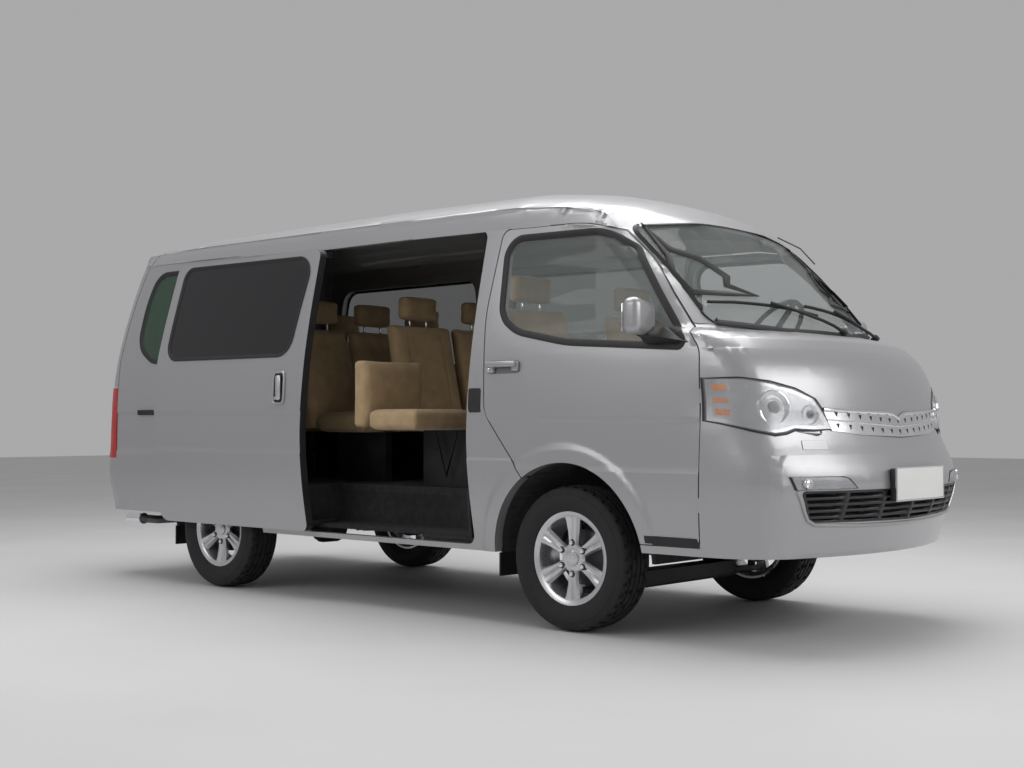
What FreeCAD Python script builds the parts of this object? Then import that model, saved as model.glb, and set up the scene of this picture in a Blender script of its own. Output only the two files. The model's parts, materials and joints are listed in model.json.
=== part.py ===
import FreeCAD, Part
import os
from math import acos, cos, hypot, pi, sin, sqrt, tan

# One-box minibus, right-hand sliding door standing open. Millimetres, +Z up, front towards -Y,
# the vehicle's right side towards -X, origin on the ground under the middle of the whole vehicle.

# Overall sizes
LENGTH = 5040.0
WHEELBASE = 2590.0
FRONT_OVERHANG = 1265.0
BODY_HALF = 866.0          # half the body width at its widest, without mirrors
ROOF_Z = 2085.0            # highest point of the roof
TRACK = 1470.0
CHIN_Z = 378.0             # lowest edge ahead of the front wheels
SILL_Z = 330.0             # lowest edge between the wheels
SKIRT_Z = 400.0            # lowest edge behind the rear wheels

# Walls and gaps
WALL = 45.0                # full thickness of a body wall or door
ROOF_WALL = 40.0
SKIN = 14.0                # outer flange of a door, before its narrower inner half
GLASS_SET = 6.0            # how far glass lies under the body surface
GLASS = 5.0                # glass thickness
SHUT_GAP = 6.0             # gap round everything that opens
DOOR_STEP = 12.0           # how much narrower the inner half of a door is
SEAT_GAP = 0.3             # running clearance where one piece seats on another
CLEAR_OF_DOOR = 8.0        # inner pieces stay this far inside a wall that swings
OVERRUN = 400.0            # how far cutting tools reach past the body

# Stations along the body
FRONT_Y = -LENGTH / 2
REAR_Y = LENGTH / 2
AXLE_F = FRONT_Y + FRONT_OVERHANG
AXLE_R = AXLE_F + WHEELBASE
FAR_X = BODY_HALF + OVERRUN

# Facets of round stretches: steps in half the nose, one corner, half the tail, half the roof arch
NOSE_STEPS = 4
CORNER_STEPS = 4
TAIL_STEPS = 2
ROOF_STEPS = 5

# Windscreen and nose
SCREEN_BASE_Z = 1332.0
SCREEN_TOP_Z = 1866.0
NOSE_RUN = 430.0           # bumper front to windscreen base, along the vehicle
SCREEN_RUN = 512.0         # windscreen base to windscreen top, along the vehicle
FRONT_RADIUS = 1760.0      # plan radius of the nose and windscreen
REAR_RADIUS = 6000.0       # plan radius of the tailgate
CORNER_SHARE = 0.81        # where the nose radius ends, as a share of the half width
REAR_CORNER_SHARE = 0.885
NOSE_CORNER_RUN = 330.0    # length of the rounded front corner, low down
SCREEN_CORNER_RUN = 165.0  # the same beside the windscreen
REAR_CORNER_RUN = 105.0
BLEND_SHARE = 0.72         # height, of SCREEN_BASE_Z, where the corner starts to tighten

# Nose profile on the centre line: height as a share of SCREEN_BASE_Z, set-back of NOSE_RUN
NOSE_SHARES = ((0.225, 0.300), (0.300, 0.190), (0.375, 0.125), (0.450, 0.045), (0.510, 0.0),
               (0.570, 0.035), (0.620, 0.130), (0.665, 0.200), (0.785, 0.250),
               (0.835, 0.290), (0.880, 0.345), (0.930, 0.460), (0.963, 0.610), (0.985, 0.790),
               (1.0, 1.0))
# Windscreen profile: height and run from base to top, then on past the roof line
SCREEN_SHARES = ((0.0, 0.0), (0.045, 0.036), (0.30, 0.262), (0.62, 0.580), (1.0, 1.0), (1.46, 1.56))
# Half width against height, as shares of BODY_HALF and ROOF_Z
SIDE_SHARES = ((0.140, 0.955), (0.202, 0.976), (0.288, 0.994), (0.400, 1.0), (0.480, 0.999),
               (0.600, 0.982), (0.670, 0.963), (0.743, 0.938), (0.820, 0.906), (0.897, 0.874),
               (0.960, 0.846), (1.02, 0.818))
# Rear profile: height as a share of ROOF_Z, distance forward of the rearmost point of REAR_RUN
REAR_RUN = 340.0
REAR_SHARES = ((0.140, 0.240), (0.200, 0.150), (0.250, 0.060), (0.285, 0.0), (0.328, 0.0),
               (0.350, 0.060), (0.400, 0.090), (0.545, 0.120), (0.625, 0.180), (0.730, 0.330),
               (0.820, 0.500), (0.905, 0.690), (0.985, 1.0), (1.02, 1.15))

# Roof: stations behind the front axle as shares of ROOF_RUN, the crown and gutter heights there
ROOF_RUN = 3420.0
ROOF_SHARES = ((-0.160, 0.841, 0.831), (-0.083, 0.897, 0.848), (-0.031, 0.947, 0.868),
               (0.028, 0.974, 0.880), (0.120, 0.994, 0.887), (0.400, 1.0, 0.893),
               (0.860, 0.992, 0.904), (1.12, 0.962, 0.906))
ARCH_ACROSS_SHARE = 2.2    # how square the roof arch is, across and upwards
ARCH_UP_SHARE = 2.8
GUTTER_LEDGE = 9.0
GUTTER_LIP = 7.0

# Wheel arches
ARCH_R = 428.0
WELL_FRONT_X = 440.0       # inner wall of a wheel well, from the centre line
WELL_REAR_X = 580.0

# Front door outline: places ahead (-) or behind the front axle as shares of DOOR_RUN, heights
# as shares of DOOR_TOP_Z, then a corner radius as a share of DOOR_RUN
DOOR_RUN = 1216.0
DOOR_TOP_Z = 1837.0
DOOR_FRONT_SHARE = -0.600
DOOR_FOOT_SHARE = 0.227
DOOR_SHARES = ((-0.587, DOOR_FOOT_SHARE, 0.02), (DOOR_FRONT_SHARE, 0.500, 1.2),
               (-0.592, 0.672, 0.08), (-0.352, 0.875, 1.0), (-0.245, 0.962, 0.14),
               (-0.050, 0.995, 0.8), (0.362, 1.0, 0.04), (0.408, 0.780, 0.6),
               (0.392, 0.530, 0.12), (0.195, 0.370, 0.0), (0.0, 0.200, 0.0),
               (-0.340, DOOR_FOOT_SHARE, 0.0))
DOOR_GLASS_SHARES = ((-0.545, 0.676, 0.02), (-0.265, 0.924, 0.10), (-0.140, 0.972, 0.5),
                     (0.338, 0.977, 0.08), (0.332, 0.772, 0.12), (0.245, 0.732, 0.20),
                     (0.004, 0.700, 0.8))
POST_X = 712.0             # the doors reach in as far as this at the screen pillars

# Sliding door at its closed place: behind SLIDE_START of SLIDE_RUN, heights over SLIDE_FOOT_Z
SLIDE_RUN = 1340.0
SLIDE_START = 590.0
SLIDE_TOP_Z = 1845.0
SLIDE_FOOT_Z = 362.0
SLIDE_TRAVEL = 1135.0
SLIDE_OUT = 70.0
SLIDE_SHARES = ((-0.020, 0.0, 0.03), (0.012, 0.330, 1.2), (-0.030, 1.0, 0.03), (0.918, 1.0, 0.04),
                (1.0, 0.600, 0.9), (1.0, 0.350, 0.9), (0.968, 0.0, 0.06))
SLIDE_GLASS_SHARES = ((0.010, 0.976, 0.07), (0.096, 0.623, 0.09), (0.930, 0.627, 0.06),
                      (0.862, 0.984, 0.06))
RUNNER_Z = 990.0           # centre rail on the body's side
RUNNER_H = 30.0
RUNNER_T = 11.0
RUNNER_RUN = 1330.0
RUNNER_START = 1990.0      # rail's front end behind the front axle
CARRIER_RUN = 80.0
CARRIER_BACK = 150.0       # carrier ahead of the rear end of the open door
GUIDE_W = 50.0             # upper and lower guide arms
GUIDE_T = 16.0
GUIDE_AHEAD = 20.0         # guide arms ahead of the door's front edge at mid height
GUIDE_IN = 110.0
GUIDE_DROP = 45.0

# Rear side windows
REAR_GLASS_RUN = 1325.0
REAR_GLASS_START = 2050.0
REAR_GLASS_SHARES = ((0.0, 1.0, 0.05), (0.0, 0.0, 0.06), (0.88, 0.0, 0.12), (1.0, 0.18, 0.10),
                     (0.975, 0.66, 0.5), (0.915, 1.0, 0.10))
WINDOW_FOOT_Z = 1290.0
WINDOW_TOP_Z = 1822.0

# Tailgate
TAIL_SEAM_SHARES = ((0.940, 1.02), (0.957, 0.981), (0.988, 0.905), (1.010, 0.820), (1.026, 0.730),
                    (1.040, 0.625), (1.043, 0.340))
TAIL_FOOT_Z = 722.0
TAIL_BUMPER_RUN = 320.0    # rear bumper's reach along the sides
LAMP_X = 712.0
LAMP_TOP_Z = 1142.0
HINGE_X = 360.0            # hinge bosses under the roof's rear edge
HINGE_W = 60.0
HINGE_DEEP = 75.0
TAIL_GLASS_FOOT_Z = 1270.0
TAIL_GLASS_TOP_Z = 1860.0
TAIL_GLASS_HALF = 640.0
TAIL_GLASS_SHARES = ((-0.97, 0.0, 0.1), (-1.0, 1.0, 0.1), (1.0, 1.0, 0.1), (0.97, 0.0, 0.1))

# Front end
BUMPER_TOP_Z = 800.0
COWL_Z = 1350.0            # where the screen pillars stand on the nose
COWL_BACK = 608.0          # rear end of the nose, ahead of the front axle
PILLAR_STATION = 2         # roof station that ends the screen pillars
GRILLE_HALF = 505.0
GRILLE_TOP_Z = 994.0
GRILLE_FOOT_Z = 868.0
GRILLE_SHARES = ((-1.0, 1.0, 0.06), (0.0, 0.70, 0.08), (1.0, 1.0, 0.06), (0.965, 0.24, 0.06),
                 (0.0, 0.0, 9.0), (-0.965, 0.24, 0.06))
GRILLE_HOLES = 13
GRILLE_HOLES_HALF = 430.0  # middle of the outermost hole
GRILLE_RISE_SHARE = 0.062  # how the rows rise towards the ends
HOLE_W = 46.0
HOLE_H = 25.0
HOLE_BAR = 9.0
LOWER_HALF = 700.0
LOWER_TOP_Z = 655.0
LOWER_FOOT_Z = 515.0
LOWER_SHARES = ((-1.0, 1.0, 0.02), (1.0, 1.0, 0.02), (0.905, 0.07, 0.06), (0.0, 0.0, 1.3),
                (-0.905, 0.07, 0.06))
SLATS = 5
SLAT_H = 11.0
SLAT_LIP = 10.0            # solid edge round the slats
SLAT_DIVIDERS = 6
DOOR_HINGE_H = 60.0        # hinge bosses ahead of the front doors
DOOR_HINGE_LOW_Z = 560.0
DOOR_HINGE_HIGH_Z = 1010.0
SLAT_BACK = 12.0           # closed backing behind the slats
HEADLAMP_TOP_Z = 1085.0
HEADLAMP_FOOT_Z = 868.0
HEADLAMP_SHARES = ((0.610, 0.0, 0.04), (0.735, 0.10, 0.03), (0.955, 0.42, 0.02),
                   (0.960, 1.0, 0.05), (0.800, 0.98, 0.1), (0.585, 0.42, 0.08))
SCREEN_CORNER_SHARES = ((-0.800, 0.043, 0.06), (-0.792, 0.880, 0.06), (0.0, 1.02, 9.0),
                        (0.792, 0.880, 0.06), (0.800, 0.043, 0.06), (0.0, -0.05, 9.0))

# Floor, seat box and step well
FLOOR_Z = 600.0
FLOOR = 40.0
PLATE = 20.0
SEAT_BOX_Z = 850.0
SEAT_BOX_AHEAD = 440.0
SEAT_BOX_BEHIND = 470.0
TOE_AHEAD = 1010.0
CABIN_START = 505.0        # behind the front axle, where no door swings any more
STEP_Z = 400.0
STEP_IN = 560.0
STEP_START = 640.0
STEP_RUN = 1180.0

# Wheels and tyres
TYRE_R = 325.0
TYRE_W = 205.0
WHEEL_SIDES = 40
# Tyre section: place across as a share of half TYRE_W, radius between RIM_R and TYRE_R
TYRE_SHARES = ((-0.78, -0.03), (-1.0, 0.45), (-0.90, 0.92), (-0.55, 1.0), (0.55, 1.0), (0.90, 0.92),
               (1.0, 0.45), (0.78, -0.03))
RIM_R = 210.0
# Rim section: place across as a share of half TYRE_W, radius as a share of RIM_R
RIM_SHARES = ((-0.78, 0.980), (0.78, 0.980), (0.80, 0.945), (0.60, 0.855), (-0.60, 0.835),
              (-0.78, 0.945))
SPOKES = 6
SPOKE_ROOT_R = 34.0
SPOKE_TIP_R = 186.0
SPOKE_ROOT_W = 66.0
SPOKE_TIP_W = 46.0
SPOKE_FACE = 58.0          # spoke face at the hub, outboard of the wheel's middle
SPOKE_TIP_FACE = 70.0
SPOKE_TIP_DEEP = 30.0
SPOKE_SET_IN = 3.0         # spoke roots start this far outboard of the hub's bolting face
SPOKE_BEVEL_SHARE = 0.45
HUB_R = 64.0
HUB_FACE = 34.0            # where the wheel bolts on, outboard of the wheel's middle
CAP_R = 34.0
CAP_T = 10.0
ROUND_SIDES = 16           # facets of shafts, drums and pipes

# Front axle
KINGPIN_IN = 62.0
SPINDLE_R = 38.0
SPINDLE_IN = 20.0
BALL_DROP = 152.0          # ball joints above and below the axle line
BALL_R = 15.0
POST_R = 20.0
DISC_R = 125.0
DISC_T = 14.0
DISC_OUT = 28.0
ARM_HALF_W = 24.0
BEAM_HALF_W = 60.0
BEAM_H = 60.0
TOWER_T = 20.0

# Rear axle
AXLE_TUBE_R = 42.0
DIFF_R = 120.0
DIFF_HALF = 110.0
DIFF_SHARES = ((-1.0, 0.4), (-0.5, 1.0), (0.5, 1.0), (1.0, 0.4))
DRUM_T = 60.0
SPRING_X = 500.0
SPRING_W = 64.0
SPRING_LEAF = 34.0
SPRING_HALF = 620.0
SPRING_RISE = 120.0
SPRING_SEAT = 10.0         # how far the spring lies into the top of the axle tube
EYE_W = 40.0

# Frame rails
RAIL_X = 350.0
RAIL_W = 60.0
RAIL_H = 100.0
RAIL_TOP_Z = FLOOR_Z - FLOOR
RAIL_AHEAD = 900.0
RAIL_BEHIND = 3450.0
CROSS_SHARES = (0.02, 0.30, 0.42, 0.56, 0.72, 0.97)
CROSS_W = 60.0
CROSS_H = 36.0
TOW_EYE_R = 18.0           # towing eyes flat under the rail ends
TOW_EYE_W = 80.0
TOW_EYE_T = 16.0

# Engine, shaft, tank and exhaust
ENGINE_AHEAD = 260.0
ENGINE_RUN = 640.0
ENGINE_HALF = 230.0
ENGINE_FOOT_Z = 330.0
ENGINE_TOP_Z = 800.0
GEARBOX_R = 105.0
GEARBOX_END_R = 60.0
GEARBOX_RUN = 520.0
GEARBOX_Z = 405.0
SHAFT_R = 32.0
TANK_X = 440.0
TANK_W = 280.0
TANK_START = 700.0
TANK_RUN = 800.0
TANK_FOOT_Z = 330.0
TANK_ROUND = 40.0
PIPE_R = 24.0
PIPE_X = 300.0
PIPE_START = 240.0         # behind the front axle, at the engine's side
PIPE_Z = 420.0
PIPE_LOW_Z = 345.0
PIPE_OVER_Z = 415.0        # over the rear axle
PIPE_AXLE_RUN = 330.0      # how far before and behind the rear axle it is raised
PIPE_TURN = 690.0          # behind the rear axle, where it turns out under the rail
SILENCER_R = 88.0
SILENCER_RUN = 500.0
SILENCER_START = 950.0
TIP_R = 32.0
TIP_BORE_R = 28.0
TIP_X = 640.0
TIP_Z = 332.0
TIP_RUN = 150.0
TIP_BORE_RUN = 120.0
TIP_BACK = 25.0            # tip ends this far ahead of the rearmost point

# Seats
CUSHION_RUN = 440.0
CUSHION_H = 125.0
CUSHION_ROUND = 45.0
CUSHION_DIP = 15.0
BACK_H = 500.0
BACK_T = 120.0
BACK_TOP_T = 90.0
BACK_LEAN = 140.0
BACK_ROUND = 38.0
REST_W = 285.0
REST_H = 155.0
REST_T = 95.0
REST_ROUND = 36.0
CUSHION_Z = 1000.0
FRONT_CUSHION_Z = 1010.0
FRONT_SEAT_Y = AXLE_F + 395.0
FRONT_SEAT_W = 500.0
FRONT_SEAT_X = 415.0
FRONT_BASE_W = 360.0
FRONT_BASE_RUN = 360.0
ROW2_Y = 330.0
ROW2_W = 500.0
ROW2_XS = (-40.0, 470.0)
ROW3_Y = 930.0
ROW3_W = 415.0
ROW3_XS = (-270.0, 155.0, 580.0)
ROW4_Y = 1690.0
ROW4_W = 378.0
ROW4_XS = (-585.0, -195.0, 195.0, 585.0)
LEG_W = 50.0
LEG_REACH = WELL_REAR_X - PLATE - LEG_W
LEG_INSET = 20.0
JUMP_X = -565.0
JUMP_W = 470.0
JUMP_Y = 140.0
JUMP_RUN = 380.0
JUMP_H = 110.0
JUMP_BACK_H = 270.0
JUMP_BACK_T = 70.0
JUMP_LEAN = 40.0
JUMP_ROUND = 25.0
WIRE_R = 6.0               # wire leg of the folding seat
WIRE_DROP = 240.0
WIRE_SPAN = 150.0
WIRE_AHEAD = 300.0
WIRE_IN = 150.0

# Dashboard and steering wheel
DASH_RUN = 430.0
DASH_TOP_Z = 1265.0
DASH_FOOT_Z = 900.0
DASH_SHARES = ((0.0, 1.0, 0.08), (0.42, 1.06, 0.2), (1.0, 0.86, 0.1), (0.82, 0.55, 0.08),
               (0.55, 0.0, 0.05), (0.0, 0.0, 0.0))
WHEEL_X = 400.0
WHEEL_Y = AXLE_F - 300.0
WHEEL_Z = 1370.0
WHEEL_R = 195.0
WHEEL_TILT = 38.5          # degrees, rim plane against level
WHEEL_RIM_T = 13.0
WHEEL_RIM_SIDES = 6
BOSS_R = 48.0
BOSS_T = 45.0
COLUMN_R = 26.0
COLUMN_RUN = 430.0
ARM_W = 34.0
ARM_T = 14.0

# Outside fittings
MIRROR_REACH = 1000.0
MIRROR_AHEAD = 470.0
MIRROR_Z = 1378.0
MIRROR_H = 160.0
MIRROR_W = 175.0
MIRROR_T = 90.0
MIRROR_ROUND = 34.0
MIRROR_FOOT_H = 60.0
MIRROR_FOOT_RUN = 90.0
MIRROR_FOOT_IN = 110.0
FLAP_W = 190.0
FLAP_T = 8.0
FLAP_IN = 62.0             # flap's outer edge inside the body side
FLAP_FOOT_Z = 215.0

NODES = {}


def vec(x, y, z):
    return FreeCAD.Vector(x, y, z)


def polygon(points):
    return Part.makePolygon(points + points[:1])


def along(table, value):
    """Straight-line reading of a table of pairs by their first entry."""
    rows = list(zip(table, table[1:]))
    low, high = rows[-1]
    for pair in rows:
        if value <= pair[1][0]:
            low, high = pair
            break
    return low[1] + (high[1] - low[1]) * (value - low[0]) / (high[0] - low[0])


def half_width(z):
    return BODY_HALF * along(SIDE_SHARES, z / ROOF_Z)


def rear_y(z):
    return REAR_Y - REAR_RUN * along(REAR_SHARES, z / ROOF_Z)


def rounded_wire(corners, place):
    """Closed wire through corners (a, b, radius), each corner a tangent arc."""
    spots = [FreeCAD.Vector(a, b, 0) for a, b, radius in corners]
    count = len(corners)
    most_share = 0.48
    arcs = []
    for index in range(count):
        here = spots[index]
        to_last = spots[index - 1] - here
        to_next = spots[(index + 1) % count] - here
        room = min(to_last.Length, to_next.Length) * most_share
        to_last.normalize()
        to_next.normalize()
        half = acos(max(-1.0, min(1.0, to_last.dot(to_next)))) / 2
        reach = min(room, corners[index][2] / tan(half)) if cos(half) > sin(half) / OVERRUN else 0
        if reach == 0:
            arcs.append((here, None, here))
            continue
        bisector = to_last + to_next
        bisector.normalize()
        radius = reach * tan(half)
        middle = here + bisector * (radius / sin(half) - radius)
        arcs.append((here + to_last * reach, middle, here + to_next * reach))
    edges = []
    for index in range(count):
        start, middle, end = arcs[index]
        if middle is not None:
            points = [place(p.x, p.y) for p in (start, middle, end)]
            edges.append(Part.Arc(*points).toShape())
        after = arcs[(index + 1) % count][0]
        edges.append(Part.makeLine(place(end.x, end.y), place(after.x, after.y)))
    return Part.Wire(edges)


def prism(wire, grow, reach):
    """Solid of a closed wire, grown outwards or inwards, then extruded."""
    if grow:
        wire = wire.makeOffset2D(grow)
    return Part.Face(wire).extrude(reach)


def side_prism(corners, x_from, x_to, grow=0.0):
    """Solid of a side-view outline between two places across the vehicle."""
    wire = rounded_wire(corners, lambda y, z: vec(x_from, y, z))
    return prism(wire, grow, vec(x_to - x_from, 0, 0))


def front_prism(corners, y_from, y_to, grow=0.0):
    """Solid of a front-view outline between two places along the vehicle."""
    wire = rounded_wire(corners, lambda x, z: vec(x, y_from, z))
    return prism(wire, grow, vec(0, y_to - y_from, 0))


def zone(points):
    """Everything inside a side-view outline of straight lines, right across the vehicle."""
    return Part.Face(polygon([vec(-FAR_X, y, z) for y, z in points])).extrude(vec(2 * FAR_X, 0, 0))


def box(x0, x1, y0, y1, z0, z1):
    x0, x1 = sorted((x0, x1))
    return Part.makeBox(x1 - x0, y1 - y0, z1 - z0, vec(x0, y0, z0))


def mirrored(shape):
    return shape.mirror(vec(0, 0, 0), vec(1, 0, 0))


def scaled_corners(table, start, run, base, height, scale):
    """Corners from a table of shares: start and run along, base and height up, scale for radii."""
    return [(start + a * run, base + b * height, r * scale) for a, b, r in table]


def ring(centre, axis, radius, sides):
    """Regular polygon about an axis, with one flat facing down."""
    ahead = axis * (1 / axis.Length)
    across = ahead.cross(vec(0, 0, 1))
    if across.Length < abs(ahead.z):
        across = vec(1, 0, 0)
    across.normalize()
    up = across.cross(ahead)
    reach = radius / cos(pi / sides)
    points = []
    for step in range(sides):
        angle = (2 * step + 1) * pi / sides
        points.append(centre + across * (reach * sin(angle)) + up * (reach * cos(angle)))
    return polygon(points)


def drum(centre, reach, radius, sides=ROUND_SIDES):
    """Round bar or disc from a centre along reach."""
    return Part.Face(ring(centre, reach, radius, sides)).extrude(reach)


def tube(path, radius, sides=ROUND_SIDES // 2):
    """Round bar along a path of points."""
    last = len(path) - 1
    rings = [ring(point, path[min(index + 1, last)] - path[max(index - 1, 0)], radius, sides)
             for index, point in enumerate(path)]
    return Part.makeLoft(rings, True, True)


def turned(profile, sides):
    """Ring turned about X in flat facets, standing on a flat; the profile is (x, radius)."""
    count = len(profile)
    rings = []
    for step in range(sides):
        angle = (2 * step + 1) * pi / sides
        reach = 1 / cos(pi / sides)
        rings.append([vec(x, r * reach * sin(angle), r * reach * cos(angle)) for x, r in profile])
    faces = []
    for here, after in zip(rings, rings[1:] + rings[:1]):
        for low in range(count):
            high = (low + 1) % count
            faces.append(Part.Face(polygon([here[low], here[high], after[high], after[low]])))
    solid = Part.makeSolid(Part.makeShell(faces))
    if solid.Volume < 0:
        solid.reverse()
    return solid


def bend(start, corner, end):
    """Points of a smooth turn from one direction into another."""
    points = []
    for step in range(CORNER_STEPS + 1):
        t = step / CORNER_STEPS
        points.append(tuple((1 - t) ** 2 * a + 2 * t * (1 - t) * b + t * t * c
                            for a, b, c in zip(start, corner, end)))
    return points


def plan_wire(z, front, half, rear, run):
    """Body outline at one height: nose arc, round corners, straight sides, tailgate arc."""
    knee = CORNER_SHARE * half
    heel = REAR_CORNER_SHARE * half

    def nose(x):
        return front + FRONT_RADIUS - sqrt(FRONT_RADIUS ** 2 - x ** 2)

    def tail(x):
        return rear - REAR_RADIUS + sqrt(REAR_RADIUS ** 2 - x ** 2)

    turn = nose(knee) + (half - knee) * knee / sqrt(FRONT_RADIUS ** 2 - knee ** 2)
    back_turn = tail(heel) - (half - heel) * heel / sqrt(REAR_RADIUS ** 2 - heel ** 2)
    spots = [knee * step / NOSE_STEPS for step in range(NOSE_STEPS)]
    side = [(x, nose(x)) for x in spots]
    side += bend((knee, nose(knee)), (half, turn), (half, nose(knee) + run))
    side += bend((half, tail(heel) - REAR_CORNER_RUN), (half, back_turn), (heel, tail(heel)))
    spots = [heel * step / TAIL_STEPS for step in reversed(range(TAIL_STEPS))]
    side += [(x, tail(x)) for x in spots]
    other = [(-x, y) for x, y in reversed(side[1:-1])]
    return polygon([vec(x, y, z) for x, y in side + other])


def front_profile():
    """Nose and windscreen on the centre line, as (height, place along)."""
    low = [(h * SCREEN_BASE_Z, FRONT_Y + s * NOSE_RUN) for h, s in NOSE_SHARES]
    rise = SCREEN_TOP_Z - SCREEN_BASE_Z
    high = [(SCREEN_BASE_Z + h * rise, FRONT_Y + NOSE_RUN + s * SCREEN_RUN)
            for h, s in SCREEN_SHARES]
    return low + high[1:]


def envelope(inset):
    """Solid of the whole body as far as its roof line, each wall moved in by inset."""
    profile = front_profile()
    last = len(profile) - 1
    moved = []
    for index, (z, y) in enumerate(profile):
        before = profile[max(index - 1, 0)]
        after = profile[min(index + 1, last)]
        rise, run = after[0] - before[0], after[1] - before[1]
        size = hypot(rise, run)
        moved.append((z - inset * run / size, y + inset * rise / size))
    moved[0] = (moved[0][0] - inset, moved[0][1])
    rows = []
    for z, y in moved:
        blend = max(0.0, min(1.0, (z / SCREEN_BASE_Z - BLEND_SHARE) / (1 - BLEND_SHARE)))
        corner = NOSE_CORNER_RUN + (SCREEN_CORNER_RUN - NOSE_CORNER_RUN) * blend
        rows.append(plan_wire(z, y, half_width(z) - inset, rear_y(z) - inset, corner))
    return Part.makeLoft(rows, True, True)


def roof_line():
    """Stations of the roof: place along, height of the crown, height of the gutter."""
    return [(AXLE_F + a * ROOF_RUN, crown * ROOF_Z, gutter * ROOF_Z)
            for a, crown, gutter in ROOF_SHARES]


def above_roof(inset):
    """Everything over the roof's arch and outside its gutter ledge."""
    wires = []
    top_z = ROOF_Z + OVERRUN
    for y, crown, foot in roof_line():
        rise = crown - inset - foot
        half = half_width(foot) - GUTTER_LEDGE - inset
        side = []
        for step in range(ROOF_STEPS + 1):
            angle = step / ROOF_STEPS * pi / 2
            x = half * cos(angle) ** (2 / ARCH_ACROSS_SHARE) if step < ROOF_STEPS else 0
            side.append((x, foot + rise * sin(angle) ** (2 / ARCH_UP_SHARE)))
        other = [(-x, z) for x, z in reversed(side[:-1])]
        around = [(-FAR_X, foot), (-FAR_X, top_z), (FAR_X, top_z), (FAR_X, foot)]
        wires.append(polygon([vec(x, y, z) for x, z in side + other + around]))
    return Part.makeLoft(wires, True, True)


def shaped(inset, roof_inset):
    return envelope(inset).cut(above_roof(roof_inset))


def underside():
    """Everything below the body's lower edge."""
    ahead, behind = FRONT_Y - OVERRUN, REAR_Y + OVERRUN
    return zone([(ahead, 0), (ahead, CHIN_Z), (AXLE_F, CHIN_Z), (AXLE_F, SILL_Z), (AXLE_R, SILL_Z),
                 (AXLE_R, SKIRT_Z), (behind, SKIRT_Z), (behind, 0)])


def arch_tool(axle):
    return Part.makeCylinder(ARCH_R, 2 * FAR_X, vec(-FAR_X, axle, TYRE_R), vec(1, 0, 0))


def nose_zone():
    """Everything ahead of the doors and under the windscreen, and below the door's foot."""
    ahead = FRONT_Y - OVERRUN
    foot = DOOR_FOOT_SHARE * DOOR_TOP_Z - SHUT_GAP
    back = AXLE_F - COWL_BACK
    return zone([(ahead, 0), (AXLE_F, 0), (AXLE_F, foot), (back, foot), (back, COWL_Z),
                 (ahead, COWL_Z)])


def roof_zone():
    """Everything above the drip gutter, with the screen pillars."""
    line = [(y, foot - GUTTER_LIP) for y, crown, foot in roof_line()][PILLAR_STATION:]
    top, ahead, behind = ROOF_Z + OVERRUN, FRONT_Y - OVERRUN, REAR_Y + OVERRUN
    return zone([(ahead, top), (ahead, COWL_Z), (line[0][0], COWL_Z)] + line
                + [(behind, line[-1][1]), (behind, top)])


def tail_seam(shift):
    return [(AXLE_F + a * ROOF_RUN + shift, h * ROOF_Z) for a, h in TAIL_SEAM_SHARES]


def tail_zone(shift):
    """Everything behind the tailgate's seam, the seam moved back by shift."""
    line = tail_seam(shift)
    behind = REAR_Y + OVERRUN
    return zone(line + [(behind, line[-1][1]), (behind, line[0][1])])


def tailgate_hinges(inner):
    """Two hinge bosses on the roof's rear edge, which the tailgate's top edge turns against."""
    near, far = tail_seam(0), tail_seam(SHUT_GAP - 2 * SEAT_GAP)
    corners = [(y, z, 0) for y, z in near[1:3] + far[2:0:-1]]
    skin = box(-FAR_X, FAR_X, 0, REAR_Y, ROOF_Z - HINGE_DEEP, ROOF_Z)
    pair = [side_prism(corners, x - HINGE_W / 2, x + HINGE_W / 2) for x in (-HINGE_X, HINGE_X)]
    return Part.makeCompound(pair).common(skin).cut(inner)


def build_windscreen(shell, pane):
    high = SCREEN_TOP_Z - SCREEN_BASE_Z
    corners = scaled_corners(SCREEN_CORNER_SHARES, 0, BODY_HALF, SCREEN_BASE_Z, high, BODY_HALF)
    tool = front_prism(corners, FRONT_Y, AXLE_F)
    NODES["windscreen"] = pane.common(tool)
    return shell.cut(tool)


def build_tail(shell, pane):
    """Tailgate with its glass, tail lamps and rear bumper; returns what is left of the shell."""
    behind = REAR_Y + OVERRUN
    lamp_foot = TAIL_FOOT_Z - SHUT_GAP
    rear = tail_zone(0)
    rear_part = shell.common(rear)
    gate = shell.common(tail_zone(SHUT_GAP)).cut(box(-FAR_X, FAR_X, 0, behind, 0, TAIL_FOOT_Z))
    lamps = []
    for side in (-1, 1):
        lamps.append(rear_part.common(box(side * LAMP_X, side * FAR_X, 0, behind, lamp_foot,
                                          LAMP_TOP_Z)))
        gate = gate.cut(box(side * (LAMP_X - SHUT_GAP), side * FAR_X, 0, behind, 0,
                            LAMP_TOP_Z + SHUT_GAP))
    corners = scaled_corners(TAIL_GLASS_SHARES, 0, TAIL_GLASS_HALF, TAIL_GLASS_FOOT_Z,
                             TAIL_GLASS_TOP_Z - TAIL_GLASS_FOOT_Z, TAIL_GLASS_HALF)
    window = front_prism(corners, AXLE_R, behind)
    bumper = box(-FAR_X, FAR_X, REAR_Y - TAIL_BUMPER_RUN, behind, 0, lamp_foot)
    NODES["tailgate"] = gate.cut(window)
    NODES["tailgate_glass"] = pane.common(window)
    NODES["tail_lamps"] = Part.makeCompound(lamps)
    NODES["rear_bumper"] = shell.common(bumper)
    return shell.cut(rear).cut(bumper)


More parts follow.
